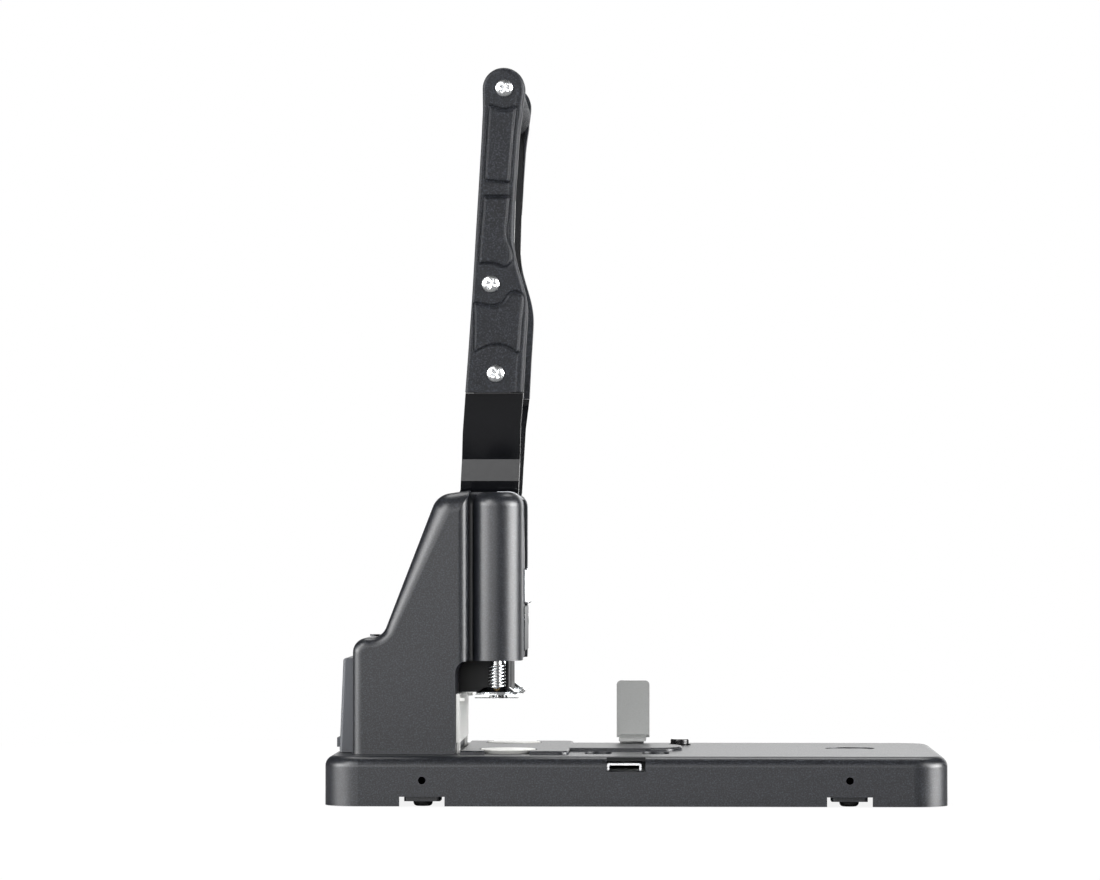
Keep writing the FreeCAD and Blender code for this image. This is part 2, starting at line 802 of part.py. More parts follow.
def frames():
    """Two steel frames inside the head, bolted through the base top to the anvil plate."""
    for name, side in NEAR_AND_FAR:
        outline = [
            (d.frame_back, d.base_top),
            (d.frame_leg_front, d.base_top),
            (d.frame_leg_front, d.head_bottom + 8),
            (d.frame_front, d.head_bottom + 18),
            (d.frame_front, d.frame_top - 8),
            (d.frame_front - 8, d.frame_top),
            (d.frame_back + 8.5, d.frame_top),
            (d.frame_back, d.frame_top - 20),
        ]
        span = mirrored_span(side, d.frame_inner, d.frame_inner + d.frame_thickness)
        web = pad(f"frame_web_{name}", "XZ_Plane", outline, span)
        flange_span = mirrored_span(side, d.frame_inner - d.frame_flange, d.frame_inner)
        lengths = (d.frame_back, d.frame_leg_front)
        flange_top = d.base_top + d.frame_thickness
        flange = box(f"frame_flange_{name}", lengths, flange_span, (d.base_top, flange_top))
        hole = rod(f"frame_pivot_{name}", "y", (d.pivot_x, d.pivot_z), d.shaft_radius, span)
        bolt_at = ((d.frame_back + d.frame_leg_front) / 2, side * (d.frame_inner - d.frame_flange / 2))
        bolt_hole = rod(f"frame_bolt_{name}", "z", bolt_at, d.bolt_radius, (d.base_top, flange_top))
        body = fuse(f"frame_body_{name}", web, flange)
        finish(f"side_frame_{name}", cut(f"side_frame_{name}", body, hole, bolt_hole))
        low = skin_bottom - d.anvil_thickness
        shank = rod(f"bolt_shank_{name}", "z", bolt_at, d.bolt_radius, (low, flange_top))
        head_ends = (flange_top, flange_top + d.bolt_head_height)
        head = rod(f"bolt_head_{name}", "z", bolt_at, d.bolt_head, head_ends)
        finish(f"frame_bolt_{name}", fuse(f"frame_bolt_{name}", shank, head))
    ends = d.frame_inner + d.frame_thickness + 3
    finish("pivot_shaft", rod("pivot_shaft", "y", (d.pivot_x, d.pivot_z), d.shaft_radius, (-ends, ends)))
    clips = []
    for name, side in NEAR_AND_FAR:
        start = d.frame_inner + d.frame_thickness
        span = mirrored_span(side, start, start + 1.2)
        ring = rod("clip_ring_" + name, "y", (d.pivot_x, d.pivot_z), d.shaft_radius + 3, span)
        bore = rod("clip_bore_" + name, "y", (d.pivot_x, d.pivot_z), d.shaft_radius, span)
        clips.append(cut("shaft_clip_" + name, ring, bore))
    finish("shaft_clips", group("shaft_clips", *clips))


def head_corners(inset):
    """Corners of the rear of the head seen from the side, moved inwards by inset.

    Each is X, Z and the radius that its edge is rounded by, where it is rounded.
    """
    back = d.head_back + inset
    front = d.crease_x - inset
    throat = d.throat_back - inset
    shift = inset * d.slope_shift
    ledge = d.ledge_height - inset
    brow = d.head_top - d.brow_drop - inset
    return [
        (back, d.base_top, None),
        (back, ledge, d.ledge_corner - inset),
        (d.slope_foot_x + shift, ledge, d.slope_corner + inset),
        (d.brow_x + shift, brow, d.brow_corner - inset),
        (front, d.head_top - inset, None),
        (front, d.head_bottom, None),
        (throat, d.head_bottom, d.throat_corner),
        (throat, d.base_top, None),
    ]


def edge_across(x, z):
    """A test for the straight edge along Y at one place."""
    return lambda e: (
        e.BoundBox.YLength > 10
        and abs(e.BoundBox.XMin - x.value) < 1e-3
        and abs(e.BoundBox.ZMin - z.value) < 1e-3
        and e.BoundBox.XLength + e.BoundBox.ZLength < 1e-3
    )


def head_side_radius(point):
    """Radius of the head's side edge: small low down at the back, full from the slope's top on."""
    low = d.side_round_low.value
    high = d.side_round_high.value
    start = d.slope_foot_x.value
    share = (point.x - start) / (d.brow_x.value - start)
    return low + (high - low) * min(1.0, max(0.0, share))


def head_rear(name, inset):
    """The rear of the head, or its room, with every visible edge rounded."""
    half = d.head_half_width - inset
    corners = head_corners(inset)
    rear = pad(name + "_rear", "XZ_Plane", [(x, z) for x, z, _ in corners], (-half, half))
    for x, z, radius in corners:
        if radius is not None:
            rear = round_body(rear, radius, edge_across(x, z))
    limit = half.value - 1e-3
    bottom = d.head_bottom.value
    throat = (d.throat_back - inset).value - 1e-3
    doc.recompute()
    edges = []
    for i, e in enumerate(rear.Shape.Edges, start=1):
        bounds = e.BoundBox
        on_side = abs(bounds.YMin) > limit and bounds.YLength < 1e-4
        above_floor = bounds.ZMax > d.base_top.value + 1
        in_throat = bounds.XMin > throat and bounds.ZMax < bottom + 1e-3
        if not (on_side and above_floor) or in_throat:
            continue
        if inset != 0:
            ends = [d.room_rounding.value] * 2
        elif upright(e) and bounds.XMin > throat:
            ends = [d.crease_rounding.value] * 2
        else:
            ends = [head_side_radius(e.valueAt(t)) for t in e.ParameterRange]
        edges.append((i, *ends))
    fillet = doc.addObject("Part::Fillet", name + "_sides")
    fillet.Base = rear
    fillet.Edges = edges
    return fillet


def head_form(name, inset, low):
    """The head's outer form, or with an inset the room inside it."""
    rear = head_rear(name, inset)
    top = d.bulge_top - inset
    pieces = [rear]
    radius = d.bulge_radius - inset
    for side_name, side in NEAR_AND_FAR:
        centre = (d.bulge_x, side * d.bulge_side)
        bulge = rod(f"{name}_bulge_{side_name}", "z", centre, radius, (low, top))
        edge = d.bulge_rounding - inset
        pieces.append(rounded(f"{name}_bulge_edge_{side_name}", bulge, edge, at_height(top)))
    middle = box(
        name + "_middle",
        (d.crease_x - 6, front_face - inset),
        (-d.bulge_side, d.bulge_side),
        (low, top),
    )
    edge = d.bulge_rounding - inset
    front_x = (front_face - inset).value
    pieces.append(
        rounded(
            name + "_middle_edge",
            middle,
            edge,
            lambda e: abs(e.BoundBox.XMin - front_x) < 1e-4
            and e.BoundBox.XLength < 1e-4
            and abs(e.BoundBox.ZMin - top.value) < 1e-4,
        )
    )
    neck_half = head_neck_half - inset
    neck = box(name + "_neck", (d.crease_x - 6, d.bulge_x), (-neck_half, neck_half), (low, top))
    pieces.append(
        rounded(
            name + "_neck_edge",
            neck,
            edge,
            lambda e: e.BoundBox.XLength > 1 and abs(e.BoundBox.ZMin - top.value) < 1e-4,
        )
    )
    return fuse(name, *pieces)


def head_shell():
    """The black head casing: one shell with two round pillars in front and a throat below them."""
    outer = head_form("head_outside", 0, d.head_bottom)
    inner = head_form("head_inside", d.head_wall, d.head_bottom - 1)
    tools = [inner]
    front = (d.crease_x - 1, front_face + 1)
    for name, side in NEAR_AND_FAR:
        span = mirrored_span(side, d.slot_inner, d.slot_outer)
        heights = (d.slot_bottom, d.head_top + 1)
        tools.append(box("arm_slot_" + name, (d.slot_back, front_face + 1), span, heights))
    heights = (d.head_bottom - 1, d.front_top)
    front_wall = (front_face - d.head_wall - 2, front_face + 1)
    tools.append(box("front_opening", front_wall, (-d.slot_outer, d.slot_outer), heights))
    half = d.bin_face_half_width - 0.8
    rear_wall = (d.head_back - 1, d.head_back + d.head_wall + 1)
    tools.append(box("bin_opening", rear_wall, (-half, half), (d.base_top - 1, bin_face_top - 1.5)))
    centre = (d.ledge_screw_x, 0)
    tools.append(rod("ledge_hole", "z", centre, 1.5, (d.ledge_height - 6, d.ledge_height + 2)))
    finish("head_shell", cut("head_shell", outer, *tools))


def head_floor():
    """The plate that closes the head above the throat, with the guide post and the bushes."""
    thickness = (d.head_bottom, d.head_bottom + d.floor_thickness)
    inner_front = front_plate_back - 0.15
    half = head_neck_half - d.head_wall - 0.2
    plate = box("floor_blank", (d.crease_x - 1, inner_front), (-half, half), thickness)
    pieces = [plate]
    tools = []
    for name, side in NEAR_AND_FAR:
        radius = d.bulge_radius - d.head_wall - 0.2
        centre = (d.bulge_x, side * d.bulge_side)
        pieces.append(rod("floor_end_" + name, "z", centre, radius, thickness))
        bush = d.punch_radius + 1.8
        punch = (d.punch_x, side * d.punch_side)
        tools.append(rod("bush_hole_" + name, "z", punch, bush, thickness))
        pin = (d.presser_pin_x, side * d.presser_pin_side)
        hole = d.presser_pin_radius + d.running_play
        tools.append(rod("floor_pin_hole_" + name, "z", pin, hole, thickness))
        sleeve = rod("bush_body_" + name, "z", punch, bush, thickness)
        bore = rod("bush_bore_" + name, "z", punch, d.punch_radius + d.running_play, thickness)
        finish("punch_bush_" + name, cut("punch_bush_" + name, sleeve, bore))
    finish("head_floor", cut("head_floor", fuse("floor_body", *pieces), *tools))
    # The post's upper rear corner follows the rounded back of the throat.
    outline = [
        (d.post_back, d.post_bottom),
        (d.post_front, d.post_bottom),
        (d.post_front, d.head_bottom),
        (d.post_back, d.head_bottom),
    ]
    post = pad("post_body", "XZ_Plane", outline, (-d.post_half_width, d.post_half_width))
    corner = d.throat_corner + d.post_back - d.throat_back
    post = round_body(post, corner, edge_across(d.post_back, d.head_bottom))
    front_edges = lambda e: upright(e) and e.BoundBox.XMin > d.post_front.value - 1e-3
    post = rounded("post_corners", post, 2.5, front_edges)
    tools = []
    for name, side in NEAR_AND_FAR:
        pin = (d.presser_pin_x, side * d.presser_pin_side)
        hole = d.presser_pin_radius + d.running_play
        tools.append(rod("post_pin_hole_" + name, "z", pin, hole, (d.post_bottom, d.head_bottom)))
    finish("guide_post", cut("guide_post", post, *tools))


def upper_front_outline(bottom):
    """Side outline of the front plate above: straight at the latch, then falling back."""
    face = front_plate_front
    return [
        (front_plate_back, bottom),
        (face, bottom),
        (face, d.latch_top + d.latch_travel),
        (face - 0.3, d.front_top - 10),
        (face - 0.7, d.front_top - 2),
        (face - 1.2, d.front_top),
        (front_plate_back, d.front_top),
    ]


def front_plate():
    """The black plate between the pillars, the latch guide below, its screws and the latch."""
    wide = d.slot_outer - 1.2
    narrow = d.slot_inner - 0.5
    step = d.slot_bottom - 0.5
    face = front_plate_front
    lower_heights = (d.front_plate_bottom, step)
    lower = box("front_lower", (front_plate_back, face), (-wide, wide), lower_heights)
    upper = pad("front_upper", "XZ_Plane", upper_front_outline(step), (-narrow, narrow))
    raised = face + d.latch_guide_thickness
    play = 0.15
    guide_heights = (d.latch_guide_bottom, d.latch_guide_top)
    guide = box("guide_blank", (face, raised), (-wide, wide), guide_heights)
    tools = []
    guide_holes = []
    screws = []
    half_slit = d.recess_width / 2
    for name, side in NEAR_AND_FAR:
        y = side * d.front_screw_side
        centre = (y, d.front_screw_height)
        seat = face + d.front_screw_seat
        head_top = seat + d.front_screw_head
        shank_back = front_plate_back - 1.2
        tools.append(rod("front_screw_hole_" + name, "x", centre, 1.6, (front_plate_back, face)))
        guide_holes.append(rod("guide_hole_" + name, "x", centre, 1.6, (face, raised)))
        room = d.front_screw_radius + d.front_screw_room
        guide_holes.append(rod("guide_room_" + name, "x", centre, room, (seat, raised + 1)))
        head = rod("front_head_" + name, "x", centre, d.front_screw_radius, (seat, head_top))
        shank = rod("front_shank_" + name, "x", centre, 1.6, (shank_back, seat))
        body = fuse("front_screw_body_" + name, head, shank)
        slit_ends = (d.front_screw_height - 4, d.front_screw_height + 4)
        slit_depth = (head_top - 0.5, head_top + 1)
        slit = box("front_slit_" + name, slit_depth, (y - half_slit, y + half_slit), slit_ends)
        screws.append(cut("front_screw_" + name, body, slit))
    finish("latch_guide", cut("latch_guide", guide, *guide_holes))
    finish("front_screws", group("front_screws", *screws))

    middle = (d.latch_bottom + d.latch_top) / 2
    stem = d.latch_stem + d.rail_play
    slot_heights = (d.latch_bottom + 4, d.latch_top - 4 + d.latch_travel)
    tools.append(box("latch_slot", (front_plate_back, face), (-stem, stem), slot_heights))
    finish("front_plate", cut("front_plate", fuse("front_body", lower, upper), *tools))

    block_span = (face + play, face + d.latch_proud)
    half = d.latch_half_width
    block = box("latch_block", block_span, (-half, half), (d.latch_bottom, d.latch_top))
    block_front = block_span[1].value
    block = rounded(
        "latch_edges",
        block,
        0.9,
        lambda e: e.BoundBox.XMin > block_front - 1e-3 or e.BoundBox.XLength > 1,
    )
    keeper_back = front_plate_back - play - d.latch_keeper
    stem_span = (keeper_back, face + play)
    stem_half = d.latch_stem
    tongue = box("latch_tongue", stem_span, (-stem_half, stem_half), (middle - 4, middle + 4))
    keeper_span = (keeper_back, front_plate_back - play)
    keeper_half = d.latch_keeper_half
    keeper_heights = (middle - 6, middle + 6)
    keeper = box("latch_keeper", keeper_span, (-keeper_half, keeper_half), keeper_heights)
    finish("front_latch", fuse("front_latch", block, tongue, keeper))


def rear_bin():
    """The chip bin that pulls out of the back, the sheet guide around it and the ledge screw."""
    half = d.bin_face_half_width
    low = d.base_top + 0.3
    face_front = d.head_back - d.bin_play
    outline = [
        (face_front, low),
        (d.bin_face_back, low),
        (d.bin_face_back + d.bin_face_lean, bin_face_top),
        (face_front, bin_face_top),
    ]
    face = pad("bin_face", "XZ_Plane", outline, (-half, half))
    face_back = (d.bin_face_back + d.bin_face_lean).value
    face = rounded(
        "bin_face_edges",
        face,
        1.5,
        lambda e: e.BoundBox.XMax < face_back + 1e-3,
    )
    lip_span = (d.bin_face_back - d.bin_lip_reach, d.bin_face_back + 0.5)
    lip_heights = (
        d.bin_lip_height - d.bin_lip_half_height,
        d.bin_lip_height + d.bin_lip_half_height,
    )
    lip_half = d.bin_lip_half_width
    lip = box("bin_lip", lip_span, (-lip_half, lip_half), lip_heights)
    side = d.bin_half_width
    body = box("bin_body", (face_front, d.bin_front), (-side, side), (d.bin_bottom, bin_top))
    wall = d.bin_wall
    room = box(
        "bin_room",
        (face_front, d.bin_front - wall),
        (wall - side, side - wall),
        (d.bin_bottom + wall, bin_top + 1),
    )
    finish("chip_bin", fuse("chip_bin", face, lip, cut("bin_tray", body, room)))

    inner = side + d.bin_play
    sheet_wall = 1.2
    xs = (d.head_back + d.head_wall + 0.3, d.bin_front + 0.8)
    top = bin_top + 1.6
    outer = inner + sheet_wall
    shelf = box("bin_shelf", xs, (-outer, outer), (top, top + sheet_wall))
    walls = []
    for name, s in NEAR_AND_FAR:
        walls.append(box("bin_side_" + name, xs, mirrored_span(s, inner, outer), (d.base_top, top)))
    slide_top = d.bin_bottom - d.bin_play
    runner = box("bin_runner", xs, (-inner, inner), (d.base_top, slide_top - 0.05))
    runner_room = box("bin_runner_room", xs, (6 - inner, inner - 6), (d.base_top - 1, slide_top + 1))
    boss_top = d.ledge_height - d.head_wall - 2.5
    boss = rod("bin_boss", "z", (d.ledge_screw_x, 0), 2.6, (top + sheet_wall, boss_top))
    guide = fuse("bin_guide_body", shelf, boss, cut("bin_runners", runner, runner_room), *walls)
    hole = rod("bin_boss_hole", "z", (d.ledge_screw_x, 0), 1.5, (top - 1, boss_top + 1))
    # Chips drop through here from the chute.
    mouth = box("bin_mouth", (d.bin_front - 14, d.bin_front + 2), (-36, 36), (top - 1, top + 2))
    finish("bin_guide", cut("bin_guide", guide, hole, mouth))
    seat = d.ledge_height + 0.05
    centre = (d.ledge_screw_x, 0)
    head = rod("ledge_screw_head", "z", centre, d.ledge_screw_radius, (seat, seat + 0.8))
    shank = rod("ledge_screw_shank", "z", centre, 1.5, (top + sheet_wall, seat))
    finish("ledge_screw", fuse("ledge_screw", head, shank))


def chip_chute():
    """Two sloping trays outside the frames that lead the chips from the punches to the bin."""
    pieces = []
    for name, side in NEAR_AND_FAR:
        outline = [
            (-84.5, 84.0),
            (-84.5, 85.4),
            (-108.0, d.ledge_height - 8.2),
            (-108.0, d.ledge_height - 9.6),
        ]
        inner = d.frame_inner + d.frame_thickness + 0.3
        span = mirrored_span(side, inner, d.head_half_width - d.head_wall - 3.5)
        pieces.append(pad("chute_tray_" + name, "XZ_Plane", outline, span))
    half = d.head_half_width - d.head_wall - 3.5
    strip_heights = (d.ledge_height - 9.6, d.ledge_height - 7.4)
    strip = box("chute_strip", (-109.6, -107.9), (-half, half), strip_heights)
    finish("chip_chute", fuse("chip_chute", strip, *pieces))


def crosshead():
    """The steel crosshead that the crank pin drives down, with both punches and their nuts."""
    heights = (d.crosshead_bottom, crosshead_top)
    half = head_neck_half - d.head_wall - 0.3
    bar = box("crosshead_bar", (d.crosshead_back, d.crosshead_front), (-half, half), heights)
    half = d.crosshead_half_width
    wide = box("crosshead_ends", (d.crosshead_end_back, d.crosshead_front), (-half, half), heights)
    slot_half = d.crank_pin_radius + d.yoke_play
    yoke_top = crank_z + slot_half + d.yoke_wall
    half = d.yoke_half_width
    yoke = box("yoke", (d.crosshead_back, d.crosshead_front), (-half, half), (crosshead_top, yoke_top))
    play = 0.8
    slot_back = crank_x - d.crank_pin_radius - play
    slot_front = d.pivot_x + d.crank_radius + d.crank_pin_radius + play
    heights = (crank_z - slot_half, crank_z + slot_half)
    slot = box("yoke_slot", (slot_back, slot_front), (-half, half), heights)
    room = box(
        "yoke_room",
        (d.crosshead_back, d.crosshead_front),
        (-half + 7, half - 7),
        (crosshead_top, crank_z - slot_half - 3),
    )
    tools = [slot, room]
    for name, side in NEAR_AND_FAR:
        centre = (d.punch_x, side * d.punch_side)
        ends = (d.crosshead_bottom, crosshead_top)
        tools.append(rod("punch_hole_" + name, "z", centre, d.punch_radius, ends))
    finish("crosshead", cut("crosshead", fuse("crosshead_body", bar, wide, yoke), *tools))
    nuts = []
    for name, side in NEAR_AND_FAR:
        centre = (d.punch_x, side * d.punch_side)
        top = crosshead_top + d.nut_height + 1.5
        tube = rod("punch_tube_" + name, "z", centre, d.punch_radius, (punch_tip, top))
        collar_low = d.crosshead_bottom - d.punch_collar_height
        collar_ends = (collar_low, d.crosshead_bottom)
        collar = rod("punch_collar_" + name, "z", centre, d.punch_collar_radius, collar_ends)
        bore = rod("punch_bore_" + name, "z", centre, d.punch_bore, (punch_tip - 1, top + 1))
        finish("punch_" + name, cut("punch_" + name, fuse("punch_body_" + name, tube, collar), bore))
        nut = doc.addObject("Part::Prism", "nut_" + name)
        nut.Polygon = 6
        bind(nut, "Circumradius", d.nut_radius)
        bind(nut, "Height", d.nut_height)
        place(nut, centre[0], centre[1], crosshead_top)
        ends = (crosshead_top, crosshead_top + d.nut_height)
        thread = rod("nut_thread_" + name, "z", centre, d.punch_radius, ends)
        nuts.append(cut("punch_nut_" + name, nut, thread))
    finish("punch_nuts", group("punch_nuts", *nuts))


def presser():
    """The clear plate that holds the paper down, its guide pins, spring cups and springs."""
    low = d.presser_bottom
    sheet_size = d.presser_thickness
    front = d.presser_front
    reach = d.lip_reach
    outline = [
        (d.presser_back, low),
        (front, low),
        (front + reach, low + reach),
        (front + reach - sheet_size * 0.7, low + reach + sheet_size * 0.7),
        (front - sheet_size * 0.42, presser_top),
        (d.presser_back, presser_top),
    ]
    half = d.presser_half_width
    plate = pad("presser_sheet", "XZ_Plane", outline, (-half, half))
    tools = []
    for name, side in NEAR_AND_FAR:
        punch = (d.punch_x, side * d.punch_side)
        tools.append(rod("presser_hole_" + name, "z", punch, d.presser_hole, (low - 1, presser_top + 1)))
        pin = (d.presser_pin_x, side * d.presser_pin_side)
        span = (low, presser_top)
        tools.append(rod("presser_pin_hole_" + name, "z", pin, d.presser_pin_radius, span))
    finish("presser_plate", cut("presser_plate", plate, *tools))
    pins = []
    for name, side in NEAR_AND_FAR:
        pin = (d.presser_pin_x, side * d.presser_pin_side)
        pins.append(rod("presser_pin_" + name, "z", pin, d.presser_pin_radius, (low, d.presser_pin_top)))
    finish("presser_pins", group("presser_pins", *pins))
    for name, side in NEAR_AND_FAR:
        punch = (d.punch_x, side * d.punch_side)
        base_top = presser_top + d.cup_base
        top = presser_top + d.cup_height
        base = rod("cup_base_" + name, "z", punch, d.cup_radius, (presser_top, base_top))
        rise = cone("cup_rise_" + name, punch, d.cup_radius - 0.5, d.cup_rim, (base_top, top))
        hole = rod("cup_hole_" + name, "z", punch, d.cup_hole, (presser_top, top))
        cup = fuse("cup_body_" + name, base, rise)
        finish("spring_cup_" + name, cut("spring_cup_" + name, cup, hole))


def springs():
    """The two springs that show in the throat, the return spring on the shaft and the button's."""
    gap = d.spring_seat_gap.value
    low = presser_top.value + gap
    length = d.head_bottom.value - gap - low
    for name, side in NEAR_AND_FAR:
        sizes = (d.spring_coil_radius.value, d.spring_wire.value, length)
        shape = coil("presser_spring_" + name, *sizes, 24, 0.0)
        at = V(d.punch_x.value, side * d.punch_side.value, low)
        thing = coil_part("presser_spring_" + name, shape, FreeCAD.Placement(at, FreeCAD.Rotation()))
        finish("presser_spring_" + name, thing)
    half = d.torsion_half_length.value
    shape = coil("return_spring", d.torsion_coil_radius.value, d.torsion_wire.value, 2 * half, 36, 0.0)
    turn = FreeCAD.Rotation(V(1, 0, 0), -90)
    at = V(d.pivot_x.value, -half, d.pivot_z.value)
    finish("return_spring", coil_part("return_spring", shape, FreeCAD.Placement(at, turn)))
    low = skin_bottom.value - d.bracket_drop.value + gap
    length = d.base_top.value - d.button_skirt.value - gap - low
    shape = coil("button_spring", d.button_coil_radius.value, d.button_wire.value, length, 16, 0.0)
    at = V(d.button_x.value, d.button_y.value, low)
    finish("button_spring", coil_part("button_spring", shape, FreeCAD.Placement(at, FreeCAD.Rotation())))


def paper_stop():
    """The white plate at the back of the throat that the paper's edge is pushed against."""
    back = d.throat_back + d.stop_gap
    front = back + d.stop_thickness
    half = d.stop_half_width
    plate = box("stop_sheet", (back, front), (-half, half), (d.stop_bottom, d.stop_top))
    pieces = [plate]
    for name, side in NEAR_AND_FAR:
        hook = mirrored_span(side, d.stop_hook_side, d.stop_hook_side + 9)
        low = d.stop_top - 3.5
        pieces.append(box("stop_hook_" + name, (front, front + d.stop_hook), hook, (low, low + 1.5)))
        foot = mirrored_span(side, d.stop_hook_side, d.stop_hook_side + 6)
        pieces.append(box("stop_foot_" + name, (back, front), foot, (d.base_top, d.stop_bottom)))
    finish("paper_stop", fuse("paper_stop", *pieces))


def arm_outline():
    """Side outline of the steel arm: pivot boss, crank pin boss and the long leaning bar."""
    half = d.arm_half_width
    top = d.arm_end + d.arm_steel_rise
    boss = d.shaft_radius + 4
    return [
        (d.pivot_x - boss, d.pivot_z + 4),
        (d.pivot_x - boss, d.pivot_z - 5),
        (d.pivot_x - 5, d.pivot_z - boss),
        (d.pivot_x + 3, d.pivot_z - boss),
        (crank_x + 6, crank_z - 7.5),
        (crank_x + 9, crank_z - 1),
        (-58.4, d.head_top - 0.4),
        (-57.6, d.head_top + 15.6),
        (-56.9, d.head_top + 32.6),
        (-55.3, cover_bottom - 0.3),
        (-62.0, cover_bottom - 0.3),
        (d.handle_x + half, top - 5),
        (d.handle_x + half - 3, top),
        (d.handle_x - half + 3, top),
        (d.handle_x - half, top - 5),
        (-77.5, cover_bottom - 0.3),
        (-83.8, cover_bottom - 0.3),
        (-85.7, d.head_top + 28.6),
        (-87.2, d.head_top + 0.6),
    ]


def cover_height(share):
    """Height at a share of the way from the cover's lower end to the arm's end."""
    return cover_bottom + (d.arm_end - cover_bottom) * share


def cover_outline():
    """Side outline of the plastic cover, with its swelling below the middle and its round top."""
    return [
        (-83.8, cover_bottom),
        (-55.3, cover_bottom),
        (-54.4, cover_height(0.122)),
        (-53.1, cover_height(0.287)),
        (-56.4, cover_height(0.373)),
        (-60.0, cover_height(0.479)),
        (-59.2, cover_height(0.637)),
        (-57.1, cover_height(0.848)),
        (-54.9, d.arm_end - 7),
        (-54.6, d.arm_end - 1),
        (-57.0, d.arm_end + 4.6),
        (-61.0, d.arm_end + 7.6),
        (-65.0, d.arm_end + 8.2),
        (-69.6, d.arm_end + 6.8),
        (-73.2, d.arm_end + 3.0),
        (-74.6, d.arm_end - 7.8),
        (-75.9, cover_height(0.818)),
        (-78.6, cover_height(0.518)),
        (-82.4, cover_height(0.122)),
    ]


def jog_outline(low, high, side):
    """Cross outline of an arm: two steps outwards, a small one and a large one, above the head."""
    inner_low = d.arm_lower_inner
    inner_middle = inner_low + d.bend_step
    inner_high = d.arm_upper_inner
    thick = d.arm_thickness
    return [
        (side * inner_low, low),
        (side * (inner_low + thick), low),
        (side * (inner_low + thick), d.bend_bottom),
        (side * (inner_middle + thick), d.bend_top),
        (side * (inner_middle + thick), d.jog_bottom + 4),
        (side * (inner_high + thick), d.jog_top + 3),
        (side * (inner_high + thick), high),
        (side * inner_high, high),
        (side * inner_high, d.jog_top),
        (side * inner_middle, d.jog_bottom),
        (side * inner_middle, d.bend_top),
        (side * inner_low, d.bend_bottom),
    ]


def lever():
    """Two steel arms with plastic covers, the crank pin, the tie and the handle with its grip."""
    upper_outer = d.arm_upper_inner + d.arm_thickness
    lower_outer = d.arm_lower_inner + d.arm_thickness
    for name, side in NEAR_AND_FAR:
        span = mirrored_span(side, d.arm_lower_inner - 2, upper_outer + 2)
        flat = pad("arm_flat_" + name, "XZ_Plane", arm_outline(), span)
        step = jog_outline(d.pivot_z - 20, d.arm_end + d.arm_steel_rise, side)
        bent = pad("arm_bend_" + name, "YZ_Plane", step, (d.arm_back, d.arm_front))
        blank = common("arm_blank_" + name, flat, bent)
        low_span = mirrored_span(side, d.arm_lower_inner - 1, lower_outer + 1)
        high_span = mirrored_span(side, d.arm_upper_inner - 1, upper_outer + 1)
        pivot = d.shaft_radius + d.running_play
        tools = [
            rod("arm_pivot_hole_" + name, "y", (d.pivot_x, d.pivot_z), pivot, low_span),
            rod("arm_crank_hole_" + name, "y", (crank_x, crank_z), d.crank_pin_radius, low_span),
            rod("arm_handle_hole_" + name, "y", (d.handle_x, handle_z), d.handle_radius, high_span),
        ]
        for x, z in cover_screw_places()[1:]:
            tools.append(rod("arm_screw_hole_" + name, "y", (x, z), 1.8, high_span))
        finish("lever_arm_" + name, cut("lever_arm_" + name, blank, *tools))
        arm_cover(name, side, upper_outer)
    ends = lower_outer + 1
    finish("crank_pin", rod("crank_pin", "y", (crank_x, crank_z), d.crank_pin_radius, (-ends, ends)))
    handle = (d.handle_x, handle_z)
    finish("handle_tube", rod("handle_tube", "y", handle, d.handle_radius, (-upper_outer, upper_outer)))
    grip_span = (-d.grip_half_length, d.grip_half_length)
    sleeve = rod("grip_body", "y", handle, d.grip_radius, grip_span)
    bore = rod("grip_bore", "y", handle, d.handle_radius, grip_span)
    finish("grip_sleeve", cut("grip_sleeve", sleeve, bore))
    tie_x, tie_z = cover_screw_places()[2]
    tie_span = (-d.arm_upper_inner, d.arm_upper_inner)
    tie = rod("tie_body", "y", (tie_x, tie_z), d.tie_radius, tie_span)
    tie_bore = rod("tie_bore", "y", (tie_x, tie_z), 1.8, tie_span)
    finish("spacer_tube", cut("spacer_tube", tie, tie_bore))


def cover_screw_places():
    """The three screws of a cover, from the handle down."""
    return [
        (d.handle_x + 0.2, handle_z + 12 - d.handle_radius),
        (sized(-71.1), cover_height(0.3505)),
        (sized(-68.5), cover_height(0.0614)),
    ]


def arm_cover(name, side, upper_outer):
    """A plastic cover over the outside and the edges of one arm, with its three screws."""
    inner = d.cover_outer - d.cover_depth
    span = mirrored_span(side, inner, d.cover_outer)
    blank = pad("cover_flat_" + name, "XZ_Plane", cover_outline(), span)
    outer_face = side * d.cover_outer.value
    blank = round_body(
        blank,
        d.cover_rounding,
        lambda e: abs(e.BoundBox.YMin - outer_face) < 1e-4
        and e.BoundBox.YLength < 1e-4
        and e.BoundBox.ZMax > cover_bottom.value + 1,
    )
    play = d.cover_play
    half = d.arm_half_width + play
    room_top = d.arm_end + d.arm_steel_rise + play
    room_outline = [
        (-78.0, cover_bottom - 1),
        (-61.5, cover_bottom - 1),
        (d.handle_x + half, room_top - 5),
        (d.handle_x + half, room_top),
        (d.handle_x - half, room_top),
        (d.handle_x - half, room_top - 5),
    ]
    room_span = mirrored_span(side, inner - 1, upper_outer + play)
    tools = [pad("cover_room_" + name, "XZ_Plane", room_outline, room_span)]
    through = mirrored_span(side, upper_outer - 1, d.cover_outer + 1)
    screws = []
    for number, (x, z) in enumerate(cover_screw_places()):
        tools.append(rod("cover_screw_hole_" + name, "y", (x, z), 1.8, through))
        # The top screw ends in the cover, because the handle tube is just below it.
        depth = 3.4 if number == 0 else 11.5
        screws.append(pan_screw("cover_screw_" + name, x, z, side, d.cover_outer, 1.8, depth))
    finish("arm_cover_" + name, cut("arm_cover_" + name, blank, *tools))
    finish("cover_screws_" + name, group("cover_screws_" + name, *screws))


